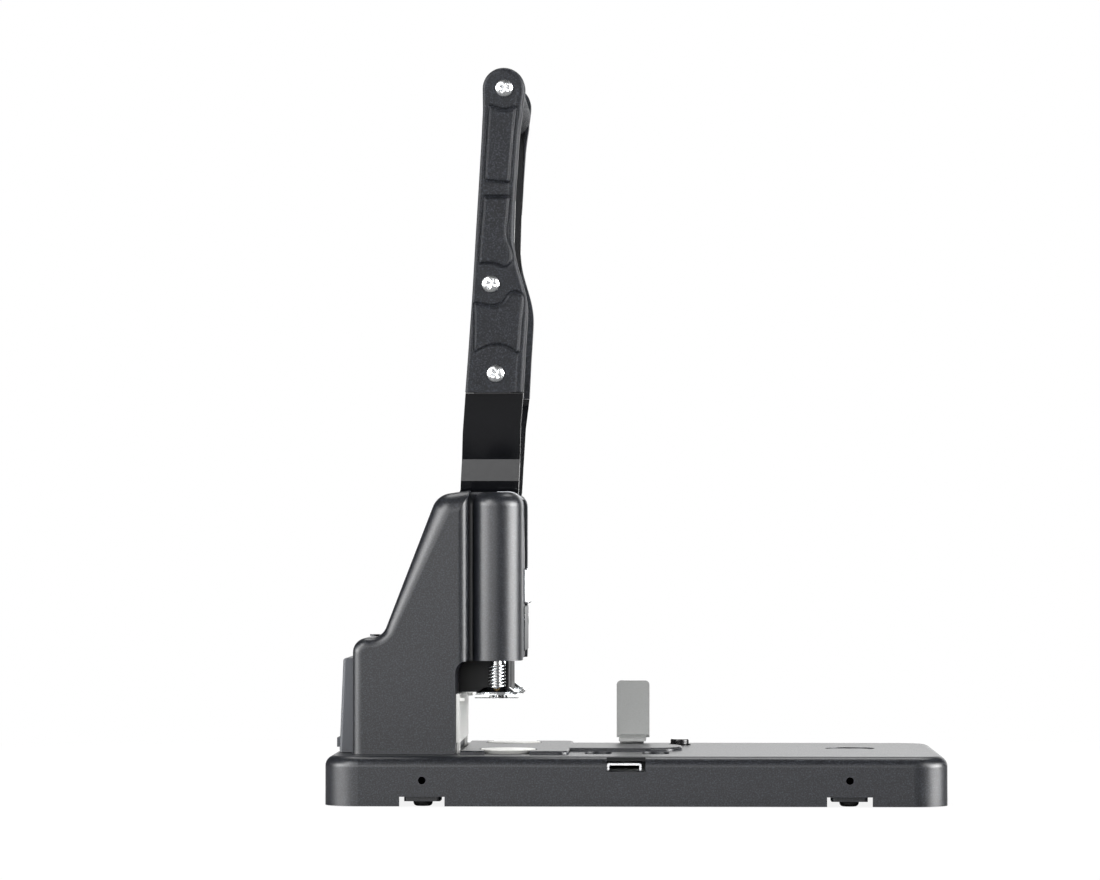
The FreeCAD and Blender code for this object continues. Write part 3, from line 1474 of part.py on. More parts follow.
def paper_guide():
    """The rail that pulls out sideways, its upright tab, its runner blocks and the edge lintel."""
    ends = (d.rail_near, d.rail_far)
    rail = box("rail_bar", (d.rail_left, d.rail_right), ends, (d.rail_bottom, d.rail_top))
    upper = d.rail_bottom.value + 1
    long_top = lambda e: e.BoundBox.YLength > 10 and e.BoundBox.ZMin > upper
    rail = rounded("rail_edges", rail, d.rail_sheet * 0.9, long_top)
    inner = (d.rail_left + d.rail_sheet, d.rail_right - d.rail_sheet)
    room_ends = (d.rail_near - 1, d.rail_far + 1)
    room = box("rail_room", inner, room_ends, (d.rail_bottom - 1, d.rail_top - d.rail_sheet))
    finish("guide_rail", cut("guide_rail", rail, room))

    plate = (d.rail_far - d.tab_sheet, d.rail_far)
    strip_top = d.strip_bottom + d.tab_sheet
    upper = box("tab_plate", (d.tab_left, d.tab_right), plate, (d.strip_bottom, d.tab_top))
    tab_top = d.tab_top.value
    upper = rounded(
        "tab_corners",
        upper,
        d.tab_corner,
        lambda e: e.BoundBox.YLength > 1 and abs(e.BoundBox.ZMin - tab_top) < 1e-4,
    )
    riser = box("tab_riser", (d.strip_left, d.rail_right), plate, (d.rail_top, d.strip_bottom))
    strip_right = d.strip_left + 13.7
    strip_span = (d.strip_near, plate[0])
    strip = box("tab_strip", (d.strip_left, strip_right), strip_span, (d.strip_bottom, strip_top))
    finish("guide_tab", fuse("guide_tab", upper, riser, strip))

    blocks = []
    play = d.rail_play
    for name, side in NEAR_AND_FAR:
        span = mirrored_span(side, d.block_side, d.block_side + d.block_length)
        wall = d.block_wall
        xs = (d.rail_left - play - wall, d.rail_right + play + wall)
        block = box("block_" + name, xs, span, (d.rail_bottom - play - wall, skin_bottom))
        xs = (d.rail_left - play, d.rail_right + play)
        passage = box("block_passage_" + name, xs, span, (d.rail_bottom - play, d.rail_top + play))
        blocks.append(cut("runner_block_" + name, block, passage))
    finish("runner_blocks", group("runner_blocks", *blocks))
    span = (1.3 - half_width, 3.4 - half_width)
    lintel = box("window_lintel", (window_left, window_right), span, (d.window_top, d.window_top + 1.2))
    finish("window_lintel", lintel)


def guide_button():
    """The push button beside the guide, its bezel, strap and spring."""
    centre = (d.button_x, d.button_y)
    top = d.base_top + d.button_height
    low = d.base_top - d.button_skirt
    cap = rod("button_cap", "z", centre, d.button_radius, (low, top))
    cap = rounded("button_edge", cap, 0.6, at_height(top))
    strap_top = skin_bottom - d.bracket_drop
    stem = rod("button_stem", "z", centre, d.button_stem, (strap_top - 3, low))
    finish("guide_button", fuse("guide_button", cap, stem))
    ring_top = d.base_top + d.bezel_height
    ring = cone("bezel_ring", centre, d.bezel_radius, d.bezel_radius - 0.5, (d.base_top, ring_top))
    bore = rod("bezel_bore", "z", centre, d.button_radius + d.button_play, (d.base_top, ring_top))
    finish("button_bezel", cut("button_bezel", ring, bore))
    half = d.bracket_half_length
    sheet_size = d.bracket_sheet
    ys = (d.button_y - 5, d.button_y + 5)
    xs = (d.button_x - half, d.button_x + half)
    strap = box("strap_floor", xs, ys, (strap_top - sheet_size, strap_top))
    legs = []
    for name, side in FRONT_AND_BACK:
        inner = half - sheet_size
        low, high = mirrored_span(side, inner, half)
        leg = (d.button_x + low, d.button_x + high)
        legs.append(box("strap_leg_" + name, leg, ys, (strap_top, skin_bottom)))
    hole_radius = d.button_stem + d.running_play
    hole = rod("strap_hole", "z", centre, hole_radius, (strap_top - sheet_size - 1, strap_top + 1))
    finish("button_strap", cut("button_strap", fuse("strap_body", strap, *legs), hole))


def build():
    """Make every sub-part, check it and write it."""
    for make in (
        base_shell,
        underside,
        anvil,
        discs,
        frames,
        head_shell,
        head_floor,
        front_plate,
        rear_bin,
        chip_chute,
        crosshead,
        presser,
        springs,
        paper_stop,
        lever,
        paper_guide,
        guide_button,
    ):
        make()
    doc.recompute()
    failed = [o.Name for o in doc.Objects if "Invalid" in o.State or "Error" in o.State]
    if failed:
        raise RuntimeError("failed objects: " + ", ".join(failed))
    for label, thing in finished.items():
        if thing.Shape.isNull() or not thing.Shape.isValid() or not thing.Shape.Solids:
            raise RuntimeError(f"{label} is not a sound solid")
    os.makedirs("parts", exist_ok=True)
    for label, thing in finished.items():
        thing.Shape.exportStep(f"parts/{label}.step")
        print(label, len(thing.Shape.Solids), round(thing.Shape.Volume))


build()
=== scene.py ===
"""Looks of the heavy duty hole punch: its materials, its detailed pieces, studio and camera."""

import json
import math

import bmesh
import bpy
import numpy as np
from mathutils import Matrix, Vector


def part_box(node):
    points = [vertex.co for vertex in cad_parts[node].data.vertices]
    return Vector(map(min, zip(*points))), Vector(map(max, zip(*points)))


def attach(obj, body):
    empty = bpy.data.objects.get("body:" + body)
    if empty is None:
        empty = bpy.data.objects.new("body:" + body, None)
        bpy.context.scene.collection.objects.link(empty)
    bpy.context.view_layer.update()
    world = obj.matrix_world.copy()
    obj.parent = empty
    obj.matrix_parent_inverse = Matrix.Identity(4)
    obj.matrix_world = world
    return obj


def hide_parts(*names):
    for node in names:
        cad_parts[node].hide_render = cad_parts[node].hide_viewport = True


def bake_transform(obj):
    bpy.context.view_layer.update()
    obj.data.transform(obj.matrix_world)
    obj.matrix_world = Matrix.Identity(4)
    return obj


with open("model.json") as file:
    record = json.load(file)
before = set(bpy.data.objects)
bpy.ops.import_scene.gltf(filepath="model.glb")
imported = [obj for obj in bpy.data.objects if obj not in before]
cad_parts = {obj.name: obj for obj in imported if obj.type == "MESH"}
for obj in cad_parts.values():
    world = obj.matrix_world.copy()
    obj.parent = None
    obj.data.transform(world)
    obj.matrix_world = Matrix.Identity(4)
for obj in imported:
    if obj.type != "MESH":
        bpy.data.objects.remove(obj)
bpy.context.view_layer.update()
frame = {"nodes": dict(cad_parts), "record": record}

MM = 0.001
NEAR_AND_FAR = (("near", -1.0), ("far", 1.0))

# Places and sizes shared with the CAD, in millimetres
PUNCH_X = -68.7
PUNCH_SIDE = 40.0
HEAD_BOTTOM = 69.8
PRESSER_TOP = 53.2
SPRING_GAP = 0.15
COVER_BOTTOM = 201.5
COVER_OUTER = 52.0
COVER_INNER = 41.0
ARM_ROOM_OUTER = 48.3
ARM_ROOM_TOP = 355.3
ARM_ROOM_HALF = 7.3
HANDLE_X = -64.8
HANDLE_Z = 345.5
GRIP_RADIUS = 10.2
GRIP_HALF = 40.6
GRIP_BORE = 6.05
RETURN_SPRING_PLACE = (-90.0, -18.0, 118.0)
BUTTON_X = 21.4
BUTTON_Y = 52.0
FRONT_FACE = -56.1
CASING_TOP = 152.6
CASING_ROUND = 6.8

# The bright strip beside the arm slots, a painted rim highlight on the casing's rounded edge: how
# far it runs, and its section
HIGHLIGHT_STRIP_BACK = 6.0
HIGHLIGHT_STRIP_BOTTOM = 71.0
HIGHLIGHT_STRIP_INNER = 30.3
HIGHLIGHT_STRIP_OUTER = 31.1
HIGHLIGHT_STRIP_PROUD = 0.4
HIGHLIGHT_STRIP_SUNK = 0.05

# Edges of the arm's room at the cover's foot, and the height above which it keeps its width
STEEL_LEFT = -78.0
STEEL_RIGHT = -61.5
STEEL_END = 348.0

# Nodes whose finish differs from the one that their slot has elsewhere
OWN_FINISH = {"lever_arm_near": "enamel", "lever_arm_far": "enamel", "guide_rail": "satin_chrome"}


# Materials


def rgb(hex_code):
    """Linear colour, with its alpha, of an sRGB hex code such as '#20242a'."""
    levels = [int(hex_code[i : i + 2], 16) / 255 for i in (1, 3, 5)]
    linear = [c / 12.92 if c <= 0.04045 else ((c + 0.055) / 1.055) ** 2.4 for c in levels]
    return (*linear, 1.0)


def add(tree, kind, inputs=None, **settings):
    """Adds a shader node with its settings; each input is a value or another node's socket."""
    node = tree.nodes.new("ShaderNode" + kind)
    for name, value in settings.items():
        setattr(node, name, value)
    for name, value in (inputs or {}).items():
        socket = node.inputs[name]
        if isinstance(value, bpy.types.NodeSocket):
            tree.links.new(value, socket)
        else:
            socket.default_value = value
    return node


def new_material(name):
    """An empty material with its tree, its shader and the Object coordinates."""
    material = bpy.data.materials.new(name)
    material.use_nodes = True
    tree = material.node_tree
    tree.nodes.clear()
    shader = add(tree, "BsdfPrincipled")
    output = add(tree, "OutputMaterial")
    tree.links.new(shader.outputs["BSDF"], output.inputs["Surface"])
    place = add(tree, "TexCoord").outputs["Object"]
    return material, tree, shader, place


def grain(tree, place, size_mm, detail=2.0, roughness=0.5, stretch=(1.0, 1.0, 1.0)):
    """Noise whose spots are about size_mm across, stretched by the three factors."""
    scaled = add(tree, "Mapping", {"Vector": place, "Scale": stretch}).outputs["Vector"]
    settings = {
        "Vector": scaled,
        "Scale": 1000.0 / size_mm,
        "Detail": detail,
        "Roughness": roughness,
    }
    return add(tree, "TexNoise", settings).outputs["Fac"]


def between(tree, factor, low, high, from_low=0.3, from_high=0.7):
    """Number that goes from low to high as the factor crosses its range."""
    inputs = {
        "Value": factor,
        "From Min": from_low,
        "From Max": from_high,
        "To Min": low,
        "To Max": high,
    }
    return add(tree, "MapRange", inputs).outputs["Result"]


def blend_colours(tree, factor, first, second):
    """Colour that goes from first to second with the factor."""
    node = add(tree, "Mix", data_type="RGBA")
    for index, value in ((0, factor), (6, first), (7, second)):
        socket = node.inputs[index]
        if isinstance(value, bpy.types.NodeSocket):
            tree.links.new(value, socket)
        else:
            socket.default_value = value
    return node.outputs[2]


def relief(tree, shader, height, depth_mm, strength=1.0):
    """Bump of the given depth on the shader."""
    inputs = {"Height": height, "Distance": depth_mm * MM, "Strength": strength}
    bump = add(tree, "Bump", inputs)
    tree.links.new(bump.outputs["Normal"], shader.inputs["Normal"])


def edge_light(tree, radius_mm):
    """1 on outer edges and 0 on flat faces, from the bevelled normal, for wear and a painted
    highlight along edges.
    """
    bevel = add(tree, "Bevel", {"Radius": radius_mm * MM}, samples=4)
    normal = add(tree, "NewGeometry").outputs["Normal"]
    inputs = {0: bevel.outputs["Normal"], 1: normal}
    same = add(tree, "VectorMath", inputs, operation="DOT_PRODUCT").outputs["Value"]
    return between(tree, same, 1.0, 0.0, 0.80, 0.995)


def powder_coat():
    """Baked black powder coat: satin, with the orange peel and fine speckle of fused powder."""
    material, tree, shader, place = new_material("black_powder_coat")
    # The peel's waves are real at 1.5 mm; the powder's 0.1 mm speckle is drawn at 0.7 mm to show.
    peel = grain(tree, place, 1.5, 2.0, 0.4)
    speckle = grain(tree, place, 0.7, 2.0, 0.7)
    drift = grain(tree, place, 38.0, 3.0)
    shade = blend_colours(tree, drift, rgb("#0c0d10"), rgb("#111216"))
    spots = between(tree, speckle, 0.0, 1.0, 0.46, 0.72)
    spotted = blend_colours(tree, spots, shade, rgb("#2e3138"))
    # Edges are lighter: wear together with a painted edge highlight
    worn_and_edge_lit = blend_colours(tree, edge_light(tree, 0.5), spotted, rgb("#202228"))
    tree.links.new(worn_and_edge_lit, shader.inputs["Base Color"])
    tree.links.new(between(tree, speckle, 0.30, 0.42), shader.inputs["Roughness"])
    shader.inputs["IOR"].default_value = 1.5
    heights = add(tree, "Math", {0: peel, 1: speckle}, operation="ADD").outputs[0]
    relief(tree, shader, heights, 0.03, 0.4)
    return material


def enamel():
    """Black baked enamel of the steel arms: smoother and deeper than the powder coat."""
    material, tree, shader, place = new_material("black_baked_enamel")
    fine = grain(tree, place, 0.8, 2.0)
    drift = grain(tree, place, 24.0, 3.0)
    shade = blend_colours(tree, drift, rgb("#0a0b0d"), rgb("#101115"))
    tree.links.new(shade, shader.inputs["Base Color"])
    tree.links.new(between(tree, fine, 0.20, 0.27), shader.inputs["Roughness"])
    relief(tree, shader, fine, 0.01, 0.4)
    return material


def moulded_black():
    """Black moulded ABS of the head's floor and the post: even, with faint flow marks."""
    material, tree, shader, place = new_material("moulded_black_plastic")
    flow = grain(tree, place, 14.0, 2.0, 0.5, (1.0, 0.4, 1.0))
    skin = grain(tree, place, 0.7, 2.0)
    shade = blend_colours(tree, flow, rgb("#08090a"), rgb("#0d0e10"))
    tree.links.new(shade, shader.inputs["Base Color"])
    shader.inputs["IOR"].default_value = 1.3
    tree.links.new(between(tree, flow, 0.32, 0.42), shader.inputs["Roughness"])
    relief(tree, shader, skin, 0.015, 0.4)
    return material


def cover_plastic():
    """Charcoal nylon cover, spark eroded: a dense matte grain that greys the light."""
    material, tree, shader, place = new_material("grained_nylon_cover")
    # A real spark grain is 0.2 mm wide; it is drawn at 0.7 mm so that it shows.
    fine = grain(tree, place, 0.7, 2.0, 0.7)
    broad = grain(tree, place, 26.0, 2.0)
    shade = blend_colours(tree, broad, rgb("#0d0e11"), rgb("#111317"))
    spots = between(tree, fine, 0.0, 0.9, 0.48, 0.72)
    spotted = blend_colours(tree, spots, shade, rgb("#34373e"))
    tree.links.new(spotted, shader.inputs["Base Color"])
    tree.links.new(between(tree, fine, 0.44, 0.58), shader.inputs["Roughness"])
    shader.inputs["IOR"].default_value = 1.31
    relief(tree, shader, fine, 0.07, 0.6)
    return material


def bin_plastic():
    """Dark grey moulded polypropylene of the chip bin: waxy and even."""
    material, tree, shader, place = new_material("moulded_grey_bin")
    fine = grain(tree, place, 0.9, 2.0)
    broad = grain(tree, place, 20.0, 2.0)
    shade = blend_colours(tree, broad, rgb("#43454a"), rgb("#4a4c51"))
    tree.links.new(shade, shader.inputs["Base Color"])
    tree.links.new(between(tree, broad, 0.42, 0.52), shader.inputs["Roughness"])
    relief(tree, shader, fine, 0.03, 0.4)
    return material


def guide_grey():
    """Mid grey moulded plastic of small guides inside."""
    material, tree, shader, place = new_material("moulded_grey_plastic")
    broad = grain(tree, place, 9.0, 2.0)
    fine = grain(tree, place, 0.8, 2.0)
    shade = blend_colours(tree, broad, rgb("#7a7c7d"), rgb("#868889"))
    tree.links.new(shade, shader.inputs["Base Color"])
    tree.links.new(between(tree, broad, 0.4, 0.5), shader.inputs["Roughness"])
    relief(tree, shader, fine, 0.02, 0.4)
    return material


def stop_plastic():
    """White ABS paper stop: bright, with soft mould drag lines."""
    material, tree, shader, place = new_material("white_abs")
    lines = grain(tree, place, 2.2, 2.0, 0.5, (1.0, 0.1, 1.0))
    shade = blend_colours(tree, lines, rgb("#f0f0ed"), rgb("#f6f6f3"))
    tree.links.new(shade, shader.inputs["Base Color"])
    tree.links.new(between(tree, lines, 0.34, 0.44), shader.inputs["Roughness"])
    relief(tree, shader, lines, 0.02, 0.3)
    return material


def disc_plastic():
    """Off-white nylon cutting disc: turned faces with a fine tooth and scuffs from the punch."""
    material, tree, shader, place = new_material("turned_nylon_disc")
    scuff = grain(tree, place, 3.0, 4.0, 0.7)
    fine = grain(tree, place, 0.5, 2.0)
    marks = between(tree, scuff, 0.0, 1.0, 0.45, 0.75)
    shade = blend_colours(tree, marks, rgb("#dcdcd8"), rgb("#c9c8c2"))
    tree.links.new(shade, shader.inputs["Base Color"])
    tree.links.new(between(tree, scuff, 0.30, 0.46), shader.inputs["Roughness"])
    relief(tree, shader, fine, 0.03, 0.4)
    return material


def gloss_black():
    """Polished black ABS of the push button: deep and mirror bright, with hairline wipes."""
    material, tree, shader, place = new_material("polished_black_button")
    wipes = grain(tree, place, 0.6, 2.0, 0.6, (1.0, 0.15, 1.0))
    shade = blend_colours(tree, wipes, rgb("#0c0c0e"), rgb("#141417"))
    tree.links.new(shade, shader.inputs["Base Color"])
    tree.links.new(between(tree, wipes, 0.10, 0.17), shader.inputs["Roughness"])
    shader.inputs["Coat Weight"].default_value = 0.4
    shader.inputs["Coat Roughness"].default_value = 0.06
    return material


def foot_rubber():
    """Black nitrile foot: dull, a little dusty where it has rubbed."""
    material, tree, shader, place = new_material("black_nitrile_rubber")
    dust = grain(tree, place, 2.4, 4.0, 0.7)
    shade = blend_colours(tree, between(tree, dust, 0.0, 0.5), rgb("#1a1a1b"), rgb("#2c2c2d"))
    tree.links.new(shade, shader.inputs["Base Color"])
    tree.links.new(between(tree, dust, 0.62, 0.80), shader.inputs["Roughness"])
    relief(tree, shader, dust, 0.04, 0.4)
    return material


def grip_rubber():
    """Soft black vinyl grip sleeve: satin, greyed a little where hands rub the ribs."""
    material, tree, shader, place = new_material("ribbed_vinyl_grip")
    rubbed = grain(tree, place, 5.0, 3.0, 0.6)
    fine = grain(tree, place, 0.6, 2.0)
    shade = blend_colours(tree, between(tree, rubbed, 0.0, 0.6), rgb("#26272a"), rgb("#34363a"))
    tree.links.new(shade, shader.inputs["Base Color"])
    tree.links.new(between(tree, rubbed, 0.30, 0.42), shader.inputs["Roughness"])
    relief(tree, shader, fine, 0.02, 0.4)
    return material


def clear_plastic():
    """Clear polycarbonate presser plate: glass smooth, with hairline scratches from paper."""
    material, tree, shader, place = new_material("clear_polycarbonate")
    lines = grain(tree, place, 0.8, 3.0, 0.6, (0.08, 1.0, 1.0))
    cloud = grain(tree, place, 12.0, 2.0)
    tint = blend_colours(tree, cloud, rgb("#f3f5f6"), rgb("#fbfcfc"))
    tree.links.new(tint, shader.inputs["Base Color"])
    tree.links.new(between(tree, lines, 0.02, 0.09, 0.45, 0.75), shader.inputs["Roughness"])
    shader.inputs["Transmission Weight"].default_value = 1.0
    shader.inputs["IOR"].default_value = 1.45
    return material


def plated(name, bright, dim, smooth, rough, spot_mm, stretch=(1.0, 1.0, 1.0), depth_mm=0.01):
    """A bare or plated metal whose colour and polish vary in spots or in a brushed direction."""
    material, tree, shader, place = new_material(name)
    spots = grain(tree, place, spot_mm, 3.0, 0.6, stretch)
    tree.links.new(blend_colours(tree, spots, rgb(dim), rgb(bright)), shader.inputs["Base Color"])
    tree.links.new(between(tree, spots, rough, smooth), shader.inputs["Roughness"])
    shader.inputs["Metallic"].default_value = 1.0
    relief(tree, shader, spots, depth_mm, 0.5)
    return material


def metals():
    """Each metal of the punch, named for its finish."""
    # Chrome plate mirrors the room, with a faint polishing haze a millimetre wide.
    chrome = plated("bright_chrome_plate", "#dfe1e3", "#cfd2d5", 0.06, 0.13, 1.2, depth_mm=0.003)
    # Screw heads and the rail keep a tumbled, less polished chrome that spreads the light.
    tumbled = plated("satin_chrome_plate", "#e8e9ea", "#d6d8da", 0.24, 0.34, 0.8, depth_mm=0.003)
    # Spring wire is drawn and plated: lines run round the coil, so its spots stay small.
    wire = plated("drawn_spring_wire", "#d4d6d8", "#b9bcc0", 0.14, 0.24, 0.5, depth_mm=0.005)
    # Satin chrome sheet is brushed upright in 0.15 mm lines, drawn at 0.4 mm so that they show.
    satin = plated("brushed_chromed_sheet", "#c3c5c8", "#abadb1", 0.24, 0.36, 0.4, (1.0, 1.0, 0.03))
    # The guide's sheet is satin anodised aluminium, brushed along the rail.
    along_rail = (1.0, 0.03, 1.0)
    anodised = plated("satin_anodised_sheet", "#9b9c9b", "#8b8c8b", 0.34, 0.46, 0.5, along_rail)
    # Turned and ground rods carry rings 0.3 mm apart.
    ground = plated("ground_steel_rod", "#b5b5b4", "#9a9b9b", 0.18, 0.30, 0.3, (0.3, 1.0, 0.3))
    # Oiled mild steel has a mill finish with soft dark blooms.
    mild = plated("oiled_mild_steel", "#8d8d8c", "#6c6d6e", 0.32, 0.48, 6.0)
    # Zinc plated sheet shows a fine spangle of 2 mm.
    zinc = plated("zinc_plated_sheet", "#dadcde", "#c4c7ca", 0.40, 0.52, 2.0)
    # Zinc plated fasteners are smaller and brighter than the sheet.
    fastener = plated("zinc_plated_fastener", "#d8dadb", "#c0c3c5", 0.26, 0.36, 0.8)
    # Sintered bronze is open and grainy.
    bronze = plated("sintered_bronze", "#a88550", "#8a6c40", 0.38, 0.55, 0.4, depth_mm=0.03)
    # Blackened screws keep a dark oxide with an oily sheen.
    blackened = plated("blackened_screw", "#3a3b3d", "#2a2b2d", 0.26, 0.38, 0.7)
    return {
        "chrome_plate": chrome,
        "satin_chrome": tumbled,
        "spring_wire": wire,
        "satin_steel": satin,
        "satin_aluminium": anodised,
        "ground_steel": ground,
        "bare_steel": mild,
        "zinc_sheet": zinc,
        "zinc_screw": fastener,
        "bronze_bush": bronze,
        "black_screw": blackened,
    }


def all_materials():
    """The material of each slot of the record, and the finishes that single nodes have."""
    made = metals()
    made["powder_coat"] = powder_coat()
    made["enamel"] = enamel()
    made["black_plastic"] = moulded_black()
    made["cover_plastic"] = cover_plastic()
    made["grey_cover_plastic"] = bin_plastic()
    made["grey_plastic"] = guide_grey()
    made["white_plastic"] = stop_plastic()
    made["disc_plastic"] = disc_plastic()
    made["gloss_black_plastic"] = gloss_black()
    made["foot_rubber"] = foot_rubber()
    made["grip_rubber"] = grip_rubber()
    made["clear_plastic"] = clear_plastic()
    return made


def dress_nodes(made):
    """Gives every CAD node its own finish, or else the material of its slot in the record."""
    slots = {part["node"]: part["material_slot"] for part in frame["record"]["subparts"]}
    for node, piece in frame["nodes"].items():
        piece.data.materials.clear()
        piece.data.materials.append(made[OWN_FINISH.get(node, slots[node])])


# Meshes


def grid_faces(rows, columns, wrap_rows, wrap_columns):
    """Quads of a grid of points as index rows; a wrapped direction joins its ends."""
    index = np.arange(rows * columns).reshape(rows, columns)
    if wrap_rows:
        index = np.vstack([index, index[:1]])
    if wrap_columns:
        index = np.hstack([index, index[:, :1]])
    corners = [index[:-1, :-1], index[:-1, 1:], index[1:, 1:], index[1:, :-1]]
    return np.stack(corners, axis=-1).reshape(-1, 4)


def piece_from_grids(name, grids, body, material, replaced=(), sharp=35.0):
    """One closed piece from grids of points in millimetres.

    Each grid is (points, wrap_rows, wrap_columns, capped): points has the shape rows, columns, 3,
    and capped closes the first and last row with a face each. A piece is attached to a body only
    when one is given.
    """
    corners = []
    faces = []
    offset = 0
    for points, wrap_rows, wrap_columns, capped in grids:
        rows, columns = points.shape[:2]
        faces += (grid_faces(rows, columns, wrap_rows, wrap_columns) + offset).tolist()
        if capped:
            faces.append([offset + i for i in range(columns)])
            faces.append([offset + (rows - 1) * columns + i for i in reversed(range(columns))])
        corners.append(points.reshape(-1, 3))
        offset += rows * columns
    mesh = bpy.data.meshes.new(name)
    mesh.from_pydata((np.concatenate(corners) * MM).tolist(), [], faces)
    shape = bmesh.new()
    shape.from_mesh(mesh)
    bmesh.ops.remove_doubles(shape, verts=shape.verts, dist=1e-6)
    bmesh.ops.recalc_face_normals(shape, faces=shape.faces)
    shape.to_mesh(mesh)
    shape.free()
    mesh.polygons.foreach_set("use_smooth", [True] * len(mesh.polygons))
    mesh.set_sharp_from_angle(angle=math.radians(sharp))
    mesh.materials.append(material)
    piece = bpy.data.objects.new(name, mesh)
    bpy.context.scene.collection.objects.link(piece)
    if body:
        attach(piece, body)
    if replaced:
        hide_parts(*replaced)
    return piece


def helix_tube(radius, wire, length, turns):
    """Grid of a spring along Z from z=0: a ring carried up a helix, with upright wire ends.

    The centre line is (R cos a, R sin a, low + lift a); the ring's axes are the way out from the
    coil's middle and the one across it and the wire. The last parts run straight up and down.
    """
    bend = wire * 1.2
    low = wire + bend
    angle = np.linspace(0.0, 2 * math.pi * turns, int(turns * 40) + 1)
    lift = (length - 2 * low) / angle[-1]
    middle = np.stack([radius * np.cos(angle), radius * np.sin(angle), low + lift * angle], 1)
    turn = np.linspace(0.0, 1.0, 9)[:-1, None]
    flat_start = np.array([0.0, 1.0, 0.0])
    foot_top = middle[0] - flat_start * bend - np.array([0.0, 0.0, bend])
    end_way = np.array([-math.sin(angle[-1]), math.cos(angle[-1]), 0.0])
    head_foot = middle[-1] + end_way * bend + np.array([0.0, 0.0, bend])
    # The lower bend stops one step before the coil, and the upper one begins a step after it
    step = math.pi / 16
    quarter = turn * math.pi / 2
    start_arc = foot_top + flat_start * bend * (1 - np.cos(quarter))
    start_arc = start_arc + np.array([0.0, 0.0, bend]) * np.sin(quarter)
    end_arc = head_foot - end_way * bend * (1 - np.sin(quarter + step))
    end_arc = end_arc - np.array([0.0, 0.0, bend]) * np.cos(quarter + step)
    bottom = np.array([[foot_top[0], foot_top[1], 0.0]])
    top = np.array([[head_foot[0], head_foot[1], length]])
    path = np.concatenate([bottom, start_arc, middle, end_arc, top])
    ways = np.gradient(path, axis=0)
    ways /= np.linalg.norm(ways, axis=1, keepdims=True)
    out = path * np.array([1.0, 1.0, 0.0])
    out -= ways * np.sum(out * ways, axis=1, keepdims=True)
    out /= np.linalg.norm(out, axis=1, keepdims=True)
    across = np.cross(ways, out)
    ring = np.linspace(0.0, 2 * math.pi, 13)[:-1]
    offsets = np.cos(ring)[None, :, None] * out[:, None]
    offsets = offsets + np.sin(ring)[None, :, None] * across[:, None]
    return path[:, None] + offsets * (wire / 2)


def spring_piece(name, grid, body, node, made):
    """A spring of plated wire in place of a CAD node, attached to the body when one is given."""
    return piece_from_grids(
        name, [(grid, False, True, True)], body, made["spring_wire"], [node]
    )


def throat_spring(name, side, made):
    """The spring round one punch, which stretches between the head and the presser."""
    low = PRESSER_TOP + SPRING_GAP
    high = HEAD_BOTTOM - SPRING_GAP
    grid = helix_tube(radius=3.75, wire=1.1, length=high - low, turns=7)
    grid = grid + np.array([PUNCH_X, side * PUNCH_SIDE, low])
    piece = spring_piece("throat_spring_" + name, grid, None, "presser_spring_" + name, made)
    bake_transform(piece)


def return_spring(made):
    """The lever's return spring, a coil laid along Y round the pivot shaft."""
    grid = helix_tube(radius=7.5, wire=2.0, length=36.0, turns=9)
    grid = grid[:, :, [0, 2, 1]] * np.array([1.0, 1.0, -1.0])
    grid = grid + np.array(RETURN_SPRING_PLACE)
    spring_piece("lever_return_spring", grid, "base", "return_spring", made)


def button_spring(made):
    """The small spring under the push button, which shortens when the button is pressed."""
    lowest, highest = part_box("button_spring")
    length = (highest.z - lowest.z) / MM
    grid = helix_tube(radius=2.9, wire=0.7, length=length, turns=4)
    grid = grid + np.array([BUTTON_X, BUTTON_Y, lowest.z / MM])
    piece = spring_piece("button_coil", grid, None, "button_spring", made)
    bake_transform(piece)


# The arm covers

# Left and right edges of the cover against height, read along its outline
COVER_LEFT = (
    (201.5, -83.8),
    (220.0, -82.4),
    (252.0, -80.2),
    (280.0, -78.6),
    (305.0, -77.1),
    (325.5, -75.9),
    (340.0, -75.2),
)
COVER_RIGHT = (
    (201.5, -55.3),
    (210.0, -54.9),
    (222.0, -54.3),
    (234.0, -53.5),
    (243.0, -53.1),
    (250.0, -54.1),
    (258.0, -56.4),
    (266.0, -58.8),
    (274.0, -60.0),
    (286.0, -59.9),
    (298.0, -59.2),
    (314.0, -58.2),
    (330.0, -57.1),
    (340.0, -55.6),
)
COVER_TOP_CENTRE = (-64.9, 350.8)
COVER_TOP_RADIUS = 10.4
COVER_BLEND_FROM = 340.0
COVER_SAMPLED_TO = 361.1

# A pixel of the photograph, the place that it shows on the near cover's face, and its size there
VIEW_COLUMN = 675.0
VIEW_ROW = 549.0
VIEW_X = 19.1
VIEW_Z = 125.1
PIXEL_MM = 0.48998


def smooth_curve(samples, places):
    """Smooth line through samples: straight pieces, blurred by a bell over 5 mm of height."""
    dense = np.arange(samples[0][0] - 20.0, samples[-1][0] + 20.0, 0.5)
    heights = [s[0] for s in samples]
    values = [s[1] for s in samples]
    line = np.interp(dense, heights, values)
    first_rate = (values[1] - values[0]) / (heights[1] - heights[0])
    last_rate = (values[-1] - values[-2]) / (heights[-1] - heights[-2])
    line = np.where(dense < heights[0], values[0] + (dense - heights[0]) * first_rate, line)
    line = np.where(dense > heights[-1], values[-1] + (dense - heights[-1]) * last_rate, line)
    weights = np.exp(-0.5 * (np.arange(-16, 17) * 0.5 / 2.6) ** 2)
    smooth = np.convolve(line, weights / weights.sum(), mode="same")
    keep = slice(20, -20)
    return np.interp(places, dense[keep], smooth[keep])


